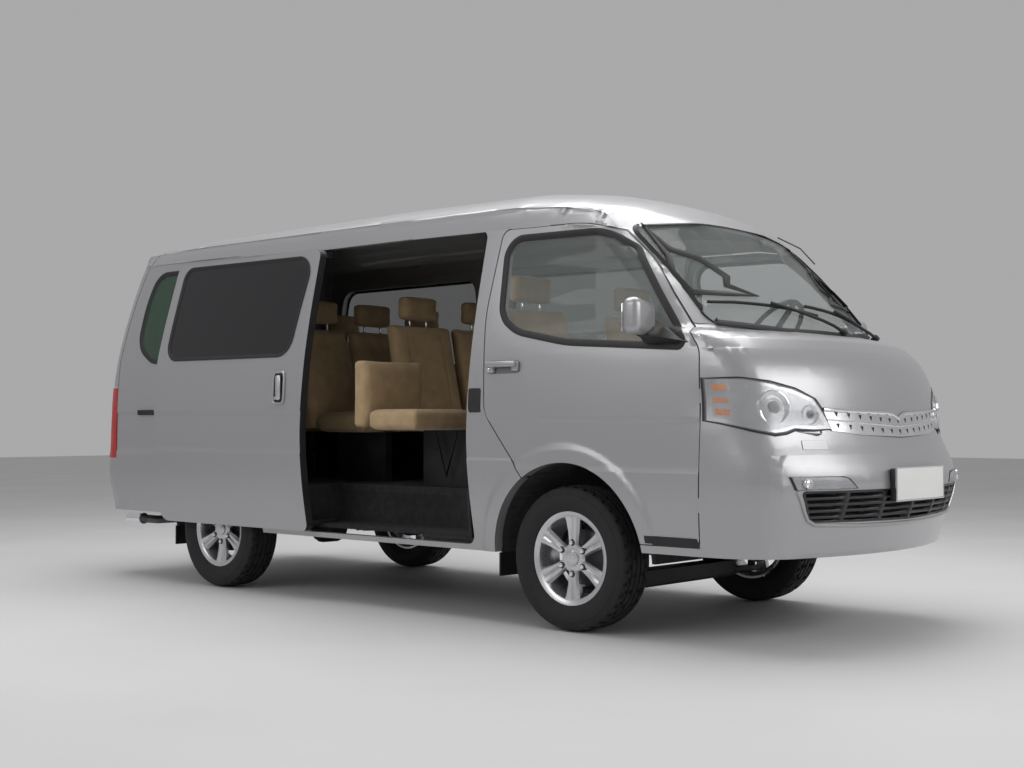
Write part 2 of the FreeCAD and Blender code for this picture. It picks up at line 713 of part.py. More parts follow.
def grille_holes():
    """Two rows of three-cornered holes, the upper row point down and the lower row point up."""
    holes = []
    pitch = 2 * GRILLE_HOLES_HALF / (GRILLE_HOLES - 1)
    for row in (0, 1):
        for index in range(GRILLE_HOLES):
            x = index * pitch - GRILLE_HOLES_HALF
            low = GRILLE_FOOT_Z + HOLE_BAR + row * (HOLE_H + HOLE_BAR) + abs(x) * GRILLE_RISE_SHARE
            base, tip = (low + HOLE_H, low) if row else (low, low + HOLE_H)
            corners = [(x - HOLE_W / 2, base, 0), (x + HOLE_W / 2, base, 0), (x, tip, 0)]
            holes.append(front_prism(corners, FRONT_Y - OVERRUN, FRONT_Y + NOSE_RUN))
    return Part.makeCompound(holes)


def lower_grille(block, deep):
    """Slatted lower grille: bars and dividers left standing in a block, before a closed back."""
    ahead, behind = FRONT_Y - OVERRUN, AXLE_F
    pitch = (LOWER_TOP_Z - LOWER_FOOT_Z - SLAT_LIP) / SLATS
    width = 2 * LOWER_HALF / SLAT_DIVIDERS
    gaps = []
    for row in range(SLATS):
        low = LOWER_FOOT_Z + SLAT_LIP + row * pitch
        for column in range(SLAT_DIVIDERS):
            left = -LOWER_HALF + column * width
            gaps.append(box(left + SLAT_LIP, left + width - SLAT_LIP, ahead, behind,
                            low, low + pitch - SLAT_H))
    inside = front_prism(lower_corners(), ahead, behind, -SLAT_LIP)
    cavity = Part.makeCompound(gaps).common(inside).cut(deep)
    return block.cut(cavity)


def lower_corners():
    return scaled_corners(LOWER_SHARES, 0, LOWER_HALF, LOWER_FOOT_Z, LOWER_TOP_Z - LOWER_FOOT_Z,
                          LOWER_HALF)


def door_hinges(hull, low):
    """Pair of hinge bosses at one height, in the gaps ahead of the front doors."""
    band = box(-FAR_X, 0, FRONT_Y, AXLE_F - COWL_BACK, low, low + DOOR_HINGE_H)
    gap = side_prism(door_corners(), -FAR_X, -POST_X, SHUT_GAP).common(band)
    gap = gap.cut(side_prism(door_corners(), -FAR_X, -POST_X, SEAT_GAP))
    boss = gap.common(hull["outer"]).cut(hull["skin"])
    return boss.Solids + mirrored(boss).Solids


def build_nose(nose, hull):
    """Front bumper, both grilles, headlamps and the panel that carries them."""
    ahead, behind = FRONT_Y - OVERRUN, AXLE_F
    low = box(-FAR_X, FAR_X, ahead, behind, 0, BUMPER_TOP_Z)
    bumper = nose.common(low)
    nose = nose.cut(low)
    corners = scaled_corners(GRILLE_SHARES, 0, GRILLE_HALF, GRILLE_FOOT_Z,
                             GRILLE_TOP_Z - GRILLE_FOOT_Z, GRILLE_TOP_Z - GRILLE_FOOT_Z)
    tool = front_prism(corners, ahead, FRONT_Y + NOSE_RUN)
    NODES["chrome_grille"] = nose.common(tool).cut(grille_holes())
    nose = nose.cut(tool)
    lamps = []
    for side in (-1, 1):
        corners = scaled_corners(HEADLAMP_SHARES, 0, side * BODY_HALF, HEADLAMP_FOOT_Z,
                                 HEADLAMP_TOP_Z - HEADLAMP_FOOT_Z, BODY_HALF)
        tool = front_prism(corners, ahead, behind)
        lamps.append(nose.common(tool))
        nose = nose.cut(tool)
    tool = front_prism(lower_corners(), ahead, behind)
    NODES["bumper_grille"] = lower_grille(bumper.common(tool), hull["deep"])
    NODES["front_bumper"] = bumper.cut(tool).fuse(door_hinges(hull, DOOR_HINGE_LOW_Z))
    NODES["nose_panel"] = nose.fuse(door_hinges(hull, DOOR_HINGE_HIGH_Z))
    NODES["front_lamps"] = Part.makeCompound(lamps)


def door_corners():
    return scaled_corners(DOOR_SHARES, AXLE_F, DOOR_RUN, 0, DOOR_TOP_Z, DOOR_RUN)


def door_window():
    corners = scaled_corners(DOOR_GLASS_SHARES, AXLE_F, DOOR_RUN, 0, DOOR_TOP_Z, DOOR_RUN)
    return side_prism(corners, -FAR_X, -POST_X)


def slide_outline(table):
    return scaled_corners(table, AXLE_F + SLIDE_START, SLIDE_RUN, SLIDE_FOOT_Z,
                          SLIDE_TOP_Z - SLIDE_FOOT_Z, SLIDE_RUN)


def build_doors(hull, pane):
    """Front doors: a full outer skin with a narrower inner half, so that they swing clear."""
    window = door_window()
    skin = hull["outer"].cut(hull["skin"]).common(side_prism(door_corners(), -FAR_X, -POST_X))
    frame = hull["skin"].cut(hull["inner"])
    frame = frame.common(side_prism(door_corners(), -FAR_X, -POST_X, -DOOR_STEP))
    door = skin.fuse(frame).cut(window).cut(arch_tool(AXLE_F))
    glass = pane.common(window)
    NODES["front_door_right"] = door
    NODES["door_glass_right"] = glass
    NODES["front_door_left"] = mirrored(door)
    NODES["door_glass_left"] = mirrored(glass)


def build_sliding_door(hull, pane):
    """Sliding door at its open place beside the body, with its rail, carrier and guide arms."""
    moved = vec(-SLIDE_OUT, SLIDE_TRAVEL, 0)
    window = side_prism(slide_outline(SLIDE_GLASS_SHARES), -FAR_X, -POST_X)
    door = hull["outer"].cut(hull["inner"])
    door = door.common(side_prism(slide_outline(SLIDE_SHARES), -FAR_X, -POST_X)).cut(window)
    door.translate(moved)
    glass = pane.common(window)
    glass.translate(moved)
    NODES["sliding_door"] = door
    NODES["sliding_door_glass"] = glass
    start = AXLE_F + RUNNER_START
    low, high = RUNNER_Z - RUNNER_H / 2, RUNNER_Z + RUNNER_H / 2
    face = BODY_HALF + RUNNER_T
    rail = box(-face, -POST_X, start, start + RUNNER_RUN, low, high).cut(hull["outer"])
    end = AXLE_F + SLIDE_START + SLIDE_RUN + SLIDE_TRAVEL - CARRIER_BACK
    carrier = box(-face - SLIDE_OUT, -face, end - CARRIER_RUN, end, low, high).cut(door)
    carrier = min(carrier.Solids, key=lambda solid: abs(solid.CenterOfMass.x + face))
    guide_y = AXLE_F + SLIDE_START + SLIDE_TRAVEL - GUIDE_AHEAD
    foot_x = half_width(STEP_Z) - WALL
    lower = box(-foot_x - SLIDE_OUT, -foot_x + GUIDE_IN, guide_y, guide_y + GUIDE_W, STEP_Z,
                STEP_Z + GUIDE_T).cut(door)
    top = SLIDE_TOP_Z + SHUT_GAP
    head_x = half_width(top) - WALL / 2
    upper = box(-head_x - SLIDE_OUT, -head_x + GUIDE_T, guide_y, guide_y + GUIDE_W,
                top - GUIDE_DROP, top - GUIDE_DROP + GUIDE_T).cut(door)
    hanger = box(-head_x, -head_x + GUIDE_T, guide_y, guide_y + GUIDE_W, top - GUIDE_DROP, top)
    NODES["door_runners"] = Part.makeCompound([rail, carrier, inmost(lower), inmost(upper).fuse(hanger)])


def inmost(shape):
    """The solid of a shape that lies nearest the vehicle's centre line."""
    return min(shape.Solids, key=lambda solid: abs(solid.CenterOfMass.x))


def build_sides(shell, pane):
    """Body sides with the door openings and windows cut, and the fixed side glass."""
    right = shell.common(box(-FAR_X, 0, FRONT_Y, REAR_Y, 0, ROOF_Z))
    left = shell.common(box(0, FAR_X, FRONT_Y, REAR_Y, 0, ROOF_Z))
    slide = side_prism(slide_outline(SLIDE_SHARES), -FAR_X, -POST_X, SHUT_GAP)
    middle = side_prism(slide_outline(SLIDE_GLASS_SHARES), -FAR_X, -POST_X)
    corners = scaled_corners(REAR_GLASS_SHARES, AXLE_F + REAR_GLASS_START, REAR_GLASS_RUN,
                             WINDOW_FOOT_Z, WINDOW_TOP_Z - WINDOW_FOOT_Z, REAR_GLASS_RUN)
    rear = side_prism(corners, -FAR_X, -POST_X)
    NODES["body_side_right"] = right.cut(slide).cut(rear)
    NODES["body_side_left"] = left.cut(mirrored(middle)).cut(mirrored(rear))
    rear_pane = pane.common(rear)
    middle_pane = mirrored(pane.common(middle))
    NODES["side_glass"] = Part.makeCompound([rear_pane, mirrored(rear_pane), middle_pane])


def build_body(hull):
    shell = hull["outer"].cut(hull["inner"]).cut(underside())
    shell = shell.cut(arch_tool(AXLE_F)).cut(arch_tool(AXLE_R))
    pane = hull["glass_out"].cut(hull["glass_in"])
    shell = build_windscreen(shell, pane)
    opening = side_prism(door_corners(), -FAR_X, -POST_X + SHUT_GAP, SHUT_GAP)
    shell = shell.cut(opening).cut(mirrored(opening))
    shell = build_tail(shell, pane)
    roof, nose = roof_zone(), nose_zone()
    hinges = tailgate_hinges(hull["inner"]).common(hull["outer"])
    NODES["roof"] = shell.common(roof).fuse(hinges.Solids)
    shell = shell.cut(roof)
    build_nose(shell.common(nose), hull)
    build_sides(shell.cut(nose), pane)
    build_doors(hull, pane)
    build_sliding_door(hull, pane)


def wheel_house(axle, wall_x, limit):
    """Liner over one pair of wheels: half drums with an inner wall, open below the axle line."""
    outer_r = ARCH_R + PLATE
    low = box(-FAR_X, FAR_X, FRONT_Y, REAR_Y, 0, TYRE_R)
    liners = []
    hollows = []
    for side in (-1, 1):
        start = vec(side * (wall_x - PLATE), axle, TYRE_R)
        hollow = Part.makeCylinder(ARCH_R, FAR_X, vec(side * wall_x, axle, TYRE_R), vec(side, 0, 0))
        shell = drum(start, vec(side * FAR_X, 0, 0), outer_r, WHEEL_SIDES).cut(hollow)
        liners.append(shell.cut(low).common(limit))
        hollows.append(hollow)
    return liners, hollows


def build_floor(hull):
    """Floor pressings: deck, seat box, step well and wheel houses, parted by thin seams."""
    cabin_y = AXLE_F + CABIN_START
    box_front, box_back = AXLE_F - SEAT_BOX_AHEAD, AXLE_F + SEAT_BOX_BEHIND
    toe = AXLE_F - TOE_AHEAD
    under = FLOOR_Z - FLOOR
    slab = zone([(toe - PLATE, DASH_FOOT_Z), (toe - PLATE, under), (box_front + PLATE, under),
                 (box_front + PLATE, SEAT_BOX_Z - PLATE), (box_back - PLATE, SEAT_BOX_Z - PLATE),
                 (box_back - PLATE, under), (REAR_Y, under), (REAR_Y, FLOOR_Z), (box_back, FLOOR_Z),
                 (box_back, SEAT_BOX_Z), (box_front, SEAT_BOX_Z), (box_front, FLOOR_Z),
                 (toe, FLOOR_Z), (toe, DASH_FOOT_Z)])
    cab = slab.common(hull["clear"]).common(box(-FAR_X, FAR_X, FRONT_Y, cabin_y, 0, ROOF_Z))
    cabin = slab.common(hull["inner"]).common(box(-FAR_X, FAR_X, cabin_y, REAR_Y, 0, ROOF_Z))
    start = AXLE_F + STEP_START
    end = start + STEP_RUN
    well = box(-FAR_X, -STEP_IN, start, end, STEP_Z, FLOOR_Z + PLATE)
    tray = box(-FAR_X, -STEP_IN + PLATE, start - PLATE, end + PLATE, STEP_Z - PLATE, under)
    walls = []
    for side in (-1, 1):
        walls.append(box(side * (WELL_FRONT_X - PLATE), side * WELL_FRONT_X, box_front, box_back,
                         TYRE_R, SEAT_BOX_Z - PLATE))
    front_liners, front_hollows = wheel_house(AXLE_F, WELL_FRONT_X, hull["clear"])
    rear_liners, rear_hollows = wheel_house(AXLE_R, WELL_REAR_X, hull["inner"])
    floor = cab.fuse([cabin, tray.common(hull["inner"])] + walls + front_liners + rear_liners)
    notch_y = BEAM_HALF_W + CLEAR_OF_DOOR
    notch = box(-FAR_X, FAR_X, AXLE_F - notch_y, AXLE_F + notch_y, TYRE_R - BALL_DROP,
                TYRE_R + BALL_DROP + BALL_R + CLEAR_OF_DOOR)
    axle_room = AXLE_TUBE_R + CLEAR_OF_DOOR
    axle_notch = box(-FAR_X, FAR_X, AXLE_R - axle_room, AXLE_R + axle_room, 0, TYRE_R + axle_room)
    seams = [box(-FAR_X, FAR_X, FRONT_Y, REAR_Y, z, z + SEAT_GAP) for z in (under, FLOOR_Z)]
    seams.append(box(-FAR_X, FAR_X, box_front, box_back, SEAT_BOX_Z - PLATE - SEAT_GAP,
                     SEAT_BOX_Z - PLATE))
    for tool in [well, notch, axle_notch] + front_hollows + rear_hollows + seams:
        floor = floor.cut(tool)
    NODES["floor"] = floor


def build_dashboard(hull):
    front = AXLE_F - TOE_AHEAD
    corners = scaled_corners(DASH_SHARES, front, DASH_RUN, DASH_FOOT_Z, DASH_TOP_Z - DASH_FOOT_Z,
                             DASH_RUN)
    NODES["dashboard"] = side_prism(corners, -BODY_HALF, BODY_HALF).common(hull["clear"])
    profile = []
    for step in range(WHEEL_RIM_SIDES):
        angle = 2 * pi * step / WHEEL_RIM_SIDES
        profile.append((WHEEL_RIM_T * cos(angle), WHEEL_R + WHEEL_RIM_T * sin(angle)))
    pieces = [drum(vec(-BOSS_T, 0, 0), vec(BOSS_T, 0, 0), BOSS_R),
              drum(vec(-COLUMN_RUN, 0, 0), vec(COLUMN_RUN - BOSS_T, 0, 0), COLUMN_R)]
    for turn in (0, 120, 240):
        arm = box(-ARM_T, 0, -ARM_W / 2, ARM_W / 2, 0, WHEEL_R)
        arm.rotate(vec(0, 0, 0), vec(1, 0, 0), turn)
        pieces.append(arm)
    wheel = turned(profile, WHEEL_SIDES // 2).fuse(pieces)
    wheel.rotate(vec(0, 0, 0), vec(0, 0, 1), 90)
    wheel.rotate(vec(0, 0, 0), vec(1, 0, 0), WHEEL_TILT)
    wheel.translate(vec(WHEEL_X, WHEEL_Y, WHEEL_Z))
    pieces = wheel.cut(NODES["dashboard"]).Solids
    NODES["steering_wheel"] = max(pieces, key=lambda solid: solid.Volume)


def spoke():
    """One bevelled spoke, standing upright from the hub to the rim."""
    sections = []
    for radius, width, face, back in (
            (SPOKE_ROOT_R, SPOKE_ROOT_W, SPOKE_FACE, HUB_FACE + SPOKE_SET_IN),
            (SPOKE_TIP_R, SPOKE_TIP_W, SPOKE_TIP_FACE, SPOKE_TIP_FACE - SPOKE_TIP_DEEP)):
        half = width / 2
        flat = half * SPOKE_BEVEL_SHARE
        edge = (face + back) / 2
        sections.append(polygon([vec(back, -half, radius), vec(edge, -half, radius),
                                 vec(face, -flat, radius), vec(face, flat, radius),
                                 vec(edge, half, radius), vec(back, half, radius)]))
    return Part.makeLoft(sections, True, True)


def build_wheels():
    half = TYRE_W / 2
    tyre = turned([(a * half, RIM_R + b * (TYRE_R - RIM_R)) for a, b in TYRE_SHARES], WHEEL_SIDES)
    barrel = turned([(a * half, b * RIM_R) for a, b in RIM_SHARES], WHEEL_SIDES)
    pieces = [drum(vec(HUB_FACE, 0, 0), vec(SPOKE_FACE - HUB_FACE, 0, 0), HUB_R),
              drum(vec(SPOKE_FACE, 0, 0), vec(CAP_T, 0, 0), CAP_R)]
    for index in range(SPOKES):
        piece = spoke()
        piece.rotate(vec(0, 0, 0), vec(1, 0, 0), index * 360 / SPOKES)
        pieces.append(piece)
    rim = barrel.fuse(pieces).cut(tyre)
    for end, axle in (("front", AXLE_F), ("rear", AXLE_R)):
        for name, side in (("right", -1), ("left", 1)):
            for kind, shape in (("tyre_", tyre), ("rim_", rim)):
                solid = mirrored(shape) if side < 0 else shape.copy()
                solid.translate(vec(side * TRACK / 2, axle, TYRE_R))
                NODES[kind + end + "_" + name] = solid


def build_front_axle():
    kingpin = TRACK / 2 - KINGPIN_IN
    hub = TRACK / 2 + HUB_FACE - SEAT_GAP
    post_foot = TYRE_R - BALL_DROP + BALL_R + SEAT_GAP
    post_high = 2 * (BALL_DROP - BALL_R - SEAT_GAP)
    arm_x = RAIL_X + RAIL_W + TOWER_T
    beam_z = TYRE_R - BALL_DROP
    pieces = [box(-arm_x, arm_x, AXLE_F - BEAM_HALF_W, AXLE_F + BEAM_HALF_W, beam_z - BALL_R,
                  beam_z + BEAM_H)]
    for name, side in (("right", -1), ("left", 1)):
        out = vec(side, 0, 0)
        spindle = drum(vec(side * (kingpin - SPINDLE_IN), AXLE_F, TYRE_R),
                       out * (hub - kingpin + SPINDLE_IN), SPINDLE_R)
        disc = drum(vec(side * (kingpin + DISC_OUT), AXLE_F, TYRE_R), out * DISC_T, DISC_R,
                    2 * ROUND_SIDES)
        post = Part.makeCylinder(POST_R, post_high, vec(side * kingpin, AXLE_F, post_foot))
        NODES["knuckle_" + name] = spindle.fuse([post, disc])
        for z in (beam_z, TYRE_R + BALL_DROP):
            pieces.append(box(side * (arm_x - TOWER_T), side * (kingpin + POST_R),
                              AXLE_F - ARM_HALF_W, AXLE_F + ARM_HALF_W, z - BALL_R, z + BALL_R))
        pieces.append(box(side * (RAIL_X + RAIL_W), side * arm_x, AXLE_F - BEAM_HALF_W,
                          AXLE_F + BEAM_HALF_W, beam_z, TYRE_R + BALL_DROP + BALL_R))
    NODES["front_suspension"] = pieces[0].fuse(pieces[1:])


def leaf_spring(x):
    """One leaf pack bowed down to the axle, with its eyes reaching in to the rail."""
    foot = TYRE_R + AXLE_TUBE_R - SPRING_SEAT
    ends = (AXLE_R - SPRING_HALF, AXLE_R + SPRING_HALF)
    lines = []
    for lift in (0, SPRING_LEAF):
        lines.append(Part.Arc(vec(x, ends[0], foot + SPRING_RISE + lift), vec(x, AXLE_R, foot + lift),
                              vec(x, ends[1], foot + SPRING_RISE + lift)).toShape())
    for y in ends:
        low = vec(x, y, foot + SPRING_RISE)
        lines.append(Part.makeLine(low, low + vec(0, 0, SPRING_LEAF)))
    leaf = Part.Face(Part.Wire(Part.__sortEdges__(lines))).extrude(vec(SPRING_W, 0, 0))
    side = 1 if x > 0 else -1
    pieces = [leaf]
    for y in (ends[0], ends[1] - EYE_W):
        pieces.append(box(side * (RAIL_X + RAIL_W), side * (SPRING_X + SPRING_W / 2), y, y + EYE_W,
                          foot + SPRING_RISE - EYE_W / 2, foot + SPRING_RISE + EYE_W / 2))
    return pieces


def build_rear_axle():
    hub = TRACK / 2 + HUB_FACE - SEAT_GAP
    middle = vec(0, AXLE_R, TYRE_R)
    axle = drum(middle - vec(hub, 0, 0), vec(2 * hub, 0, 0), AXLE_TUBE_R)
    cover = []
    for a, b in DIFF_SHARES:
        cover.append(ring(middle + vec(a * DIFF_HALF, 0, 0), vec(1, 0, 0), b * DIFF_R, ROUND_SIDES))
    pieces = [Part.makeLoft(cover, True, True)]
    for side in (-1, 1):
        brake = TRACK / 2 - DRUM_T
        pieces.append(drum(middle + vec(side * brake, 0, 0), vec(side * DRUM_T, 0, 0), DISC_R,
                           2 * ROUND_SIDES))
        pieces += leaf_spring(side * SPRING_X - SPRING_W / 2)
    NODES["rear_axle"] = axle.fuse(pieces)


def build_frame():
    """Ladder frame under the floor, with a towing eye at each end."""
    start, end = AXLE_F - RAIL_AHEAD, AXLE_F + RAIL_BEHIND
    foot = RAIL_TOP_Z - RAIL_H
    rails = []
    for side in (-1, 1):
        rails.append(box(side * RAIL_X, side * (RAIL_X + RAIL_W), start, end, foot, RAIL_TOP_Z))
    for share in CROSS_SHARES:
        y = start + share * (end - start - CROSS_W)
        rails.append(box(-RAIL_X, RAIL_X, y, y + CROSS_W, RAIL_TOP_Z - CROSS_H, RAIL_TOP_Z))
    NODES["chassis_rails"] = rails[0].fuse(rails[1:])
    eyes = []
    half = TOW_EYE_W / 2
    out = RAIL_X + RAIL_W
    for y, side in ((start + half, 1), (end - half, -1)):
        plate = box(side * RAIL_X, side * (out + TOW_EYE_W), y - half, y + half,
                    foot - SEAT_GAP - TOW_EYE_T, foot - SEAT_GAP)
        hole = Part.makeCylinder(TOW_EYE_R, TOW_EYE_T,
                                 vec(side * (out + half), y, foot - SEAT_GAP - TOW_EYE_T))
        eyes.append(plate.cut(hole))
    NODES["tow_eyes"] = Part.makeCompound(eyes)


def build_powertrain():
    """Engine as a plain block, with its gearbox and the shaft to the rear axle."""
    start = AXLE_F - ENGINE_AHEAD
    end = start + ENGINE_RUN
    block = box(-ENGINE_HALF, ENGINE_HALF, start, end, ENGINE_FOOT_Z, ENGINE_TOP_Z)
    back = vec(0, 1, 0)
    rear = vec(0, end + GEARBOX_RUN, GEARBOX_Z)
    gearbox = Part.makeLoft([ring(vec(0, end, GEARBOX_Z), back, GEARBOX_R, ROUND_SIDES),
                             ring(rear, back, GEARBOX_END_R, ROUND_SIDES)], True, True)
    shaft = drum(rear, vec(0, AXLE_R - DIFF_R, TYRE_R) - rear, SHAFT_R)
    NODES["powertrain"] = block.fuse([gearbox, shaft]).cut(NODES["rear_axle"])


def build_tank():
    start = AXLE_F + TANK_START
    tank = box(TANK_X, TANK_X + TANK_W, start, start + TANK_RUN, TANK_FOOT_Z, RAIL_TOP_Z)
    low_edges = [edge for edge in tank.Edges
                 if edge.Length == TANK_RUN and edge.CenterOfMass.z < RAIL_TOP_Z]
    NODES["fuel_tank"] = tank.makeFillet(TANK_ROUND, low_edges)


def build_exhaust():
    """Pipe from the engine's side, over the rear axle and out under the rear right corner."""
    path = [vec(-ENGINE_HALF, AXLE_F + PIPE_START, PIPE_Z),
            vec(-PIPE_X, AXLE_F + PIPE_START + PIPE_X, PIPE_Z),
            vec(-PIPE_X, AXLE_R - 2 * PIPE_AXLE_RUN, PIPE_LOW_Z),
            vec(-PIPE_X, AXLE_R - PIPE_AXLE_RUN, PIPE_OVER_Z),
            vec(-PIPE_X, AXLE_R + PIPE_AXLE_RUN, PIPE_OVER_Z),
            vec(-PIPE_X, AXLE_R + PIPE_TURN, PIPE_LOW_Z),
            vec(-TIP_X, REAR_Y - TIP_BACK - 2 * TIP_RUN, TIP_Z),
            vec(-TIP_X, REAR_Y - TIP_BACK - TIP_RUN / 2, TIP_Z)]
    end = vec(-TIP_X, REAR_Y - TIP_BACK, TIP_Z)
    back = vec(0, 1, 0)
    tip = drum(end - back * TIP_RUN, back * TIP_RUN, TIP_R)
    bore = Part.makeCylinder(TIP_BORE_R, TIP_BORE_RUN, end - back * TIP_BORE_RUN, back)
    start = AXLE_F + SILENCER_START
    silencer = drum(vec(-PIPE_X + SILENCER_R - RAIL_W / 2, start, PIPE_LOW_Z + PIPE_R),
                    back * SILENCER_RUN, SILENCER_R)
    pipe = tube(path, PIPE_R).fuse([tip, silencer]).cut(bore).cut(NODES["powertrain"])
    NODES["exhaust"] = max(pipe.Solids, key=lambda solid: solid.Volume)


def seat(x, y, top_z, width):
    """Cushion, leaning back and headrest of one seat facing forwards; y is the cushion's back."""
    x0, x1 = x - width / 2, x + width / 2
    under = top_z - CUSHION_H
    cushion = side_prism([(y - CUSHION_RUN, under, 0), (y - CUSHION_RUN, top_z, CUSHION_ROUND),
                          (y, top_z - CUSHION_DIP, 0), (y, under, 0)], x0, x1)
    foot = y + SEAT_GAP
    head = foot + BACK_LEAN
    high = top_z + BACK_H
    back = side_prism([(foot, under, 0), (foot + BACK_T, under, 0),
                       (head + BACK_TOP_T, high, BACK_ROUND), (head, high, BACK_ROUND)], x0, x1)
    base = high + SEAT_GAP
    rest = side_prism([(head, base, 0), (head + REST_T, base, 0),
                       (head + REST_T, base + REST_H, REST_ROUND),
                       (head, base + REST_H, REST_ROUND)], x - REST_W / 2, x + REST_W / 2)
    return [cushion, back, rest]


def leg(x, y, under):
    """Seat leg under the middle of a seat, but clear of the wheel houses."""
    x = max(-LEG_REACH, min(LEG_REACH, x))
    return box(x - LEG_W / 2, x + LEG_W / 2, y - CUSHION_RUN + LEG_INSET, y - LEG_INSET, FLOOR_Z,
               under - SEAT_GAP)


def folding_seat():
    """Folding seat beside the entry, with its wire leg."""
    x0, x1 = JUMP_X - JUMP_W / 2, JUMP_X + JUMP_W / 2
    front, under = JUMP_Y - JUMP_RUN, CUSHION_Z - JUMP_H
    cushion = side_prism([(front, under, 0), (front, CUSHION_Z, JUMP_ROUND), (JUMP_Y, CUSHION_Z, 0),
                          (JUMP_Y, under, 0)], x0, x1)
    foot = JUMP_Y + SEAT_GAP
    high = CUSHION_Z + JUMP_BACK_H
    back = side_prism([(foot, under, 0), (foot + JUMP_BACK_T, under, 0),
                       (foot + JUMP_BACK_T + JUMP_LEAN, high, JUMP_ROUND),
                       (foot + JUMP_LEAN, high, JUMP_ROUND)], x0, x1)
    top = under - SEAT_GAP
    y = JUMP_Y - WIRE_AHEAD
    x = JUMP_X + WIRE_IN
    bent = top - 4 * WIRE_R
    wire = tube([vec(x, y, top), vec(x, y, bent), vec(x, y + WIRE_SPAN / 2, top - WIRE_DROP),
                 vec(x, y + WIRE_SPAN, bent), vec(x, y + WIRE_SPAN, top)], WIRE_R)
    post = box(x1 - LEG_W, x1, front + LEG_INSET, JUMP_Y - LEG_INSET, FLOOR_Z, top)
    return [cushion, back], [wire, post]


def build_seats():
    front, rows, frames = [], [], []
    for x in (-FRONT_SEAT_X, FRONT_SEAT_X):
        front += seat(x, FRONT_SEAT_Y, FRONT_CUSHION_Z, FRONT_SEAT_W)
        frames.append(box(x - FRONT_BASE_W / 2, x + FRONT_BASE_W / 2,
                          FRONT_SEAT_Y - LEG_INSET - FRONT_BASE_RUN, FRONT_SEAT_Y - LEG_INSET,
                          SEAT_BOX_Z, FRONT_CUSHION_Z - CUSHION_H - SEAT_GAP))
    for y, places, width in ((ROW2_Y, ROW2_XS, ROW2_W), (ROW3_Y, ROW3_XS, ROW3_W),
                             (ROW4_Y, ROW4_XS, ROW4_W)):
        for x in places:
            rows += seat(x, y, CUSHION_Z, width)
            frames.append(leg(x, y, CUSHION_Z - CUSHION_H))
    cushions, stand = folding_seat()
    NODES["front_seats"] = Part.makeCompound(front)
    NODES["passenger_seats"] = Part.makeCompound(rows + cushions)
    NODES["seat_frames"] = Part.makeCompound(frames + stand)


def build_mirrors():
    y = AXLE_F - MIRROR_AHEAD
    low, high = MIRROR_Z - MIRROR_H / 2, MIRROR_Z + MIRROR_H / 2
    inner = MIRROR_REACH - MIRROR_W
    housing = front_prism([(-MIRROR_REACH, low, MIRROR_ROUND), (-MIRROR_REACH, high, MIRROR_ROUND),
                           (-inner, high, MIRROR_ROUND), (-inner, low, MIRROR_ROUND)],
                          y - MIRROR_T / 2, y + MIRROR_T / 2)
    foot = box(-inner - MIRROR_FOOT_IN / 2, -inner + MIRROR_FOOT_IN, y - MIRROR_FOOT_RUN / 2,
               y + MIRROR_FOOT_RUN / 2, low, low + MIRROR_FOOT_H)
    mirror = housing.fuse(foot).cut(NODES["front_door_right"]).cut(NODES["door_glass_right"])
    NODES["mirror_right"] = max(mirror.Solids, key=lambda solid: solid.Volume)
    NODES["mirror_left"] = mirrored(NODES["mirror_right"])


def build_flaps():
    """Mud flaps under the rear ends of the wheel houses."""
    flaps = []
    for axle in (AXLE_F, AXLE_R):
        for side in (-1, 1):
            outer = BODY_HALF - FLAP_IN
            flaps.append(box(side * (outer - FLAP_W), side * outer, axle + ARCH_R,
                             axle + ARCH_R + FLAP_T, FLAP_FOOT_Z, TYRE_R))
    NODES["mud_flaps"] = Part.makeCompound(flaps)


def build_hull():
    """The body's outer solid and the solids inside it that part its walls, glass and cabin."""
    return {"outer": shaped(0, 0), "inner": shaped(WALL, ROOF_WALL), "skin": shaped(SKIN, SKIN),
            "glass_out": shaped(GLASS_SET, GLASS_SET),
            "glass_in": shaped(GLASS_SET + GLASS, GLASS_SET + GLASS),
            "clear": shaped(WALL + CLEAR_OF_DOOR, ROOF_WALL + CLEAR_OF_DOOR),
            "deep": shaped(WALL - SLAT_BACK, WALL - SLAT_BACK)}


body = build_hull()
build_body(body)
build_floor(body)
build_dashboard(body)
build_wheels()
build_front_axle()
build_rear_axle()
build_frame()
build_powertrain()
build_tank()
build_exhaust()
build_seats()
build_mirrors()
build_flaps()
os.makedirs("parts", exist_ok=True)
for name, shape in NODES.items():
    shape.exportStep("parts/" + name + ".step")
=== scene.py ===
import json
import math

import bmesh
import bpy
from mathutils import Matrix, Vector
from mathutils.bvhtree import BVHTree
from mathutils.kdtree import KDTree

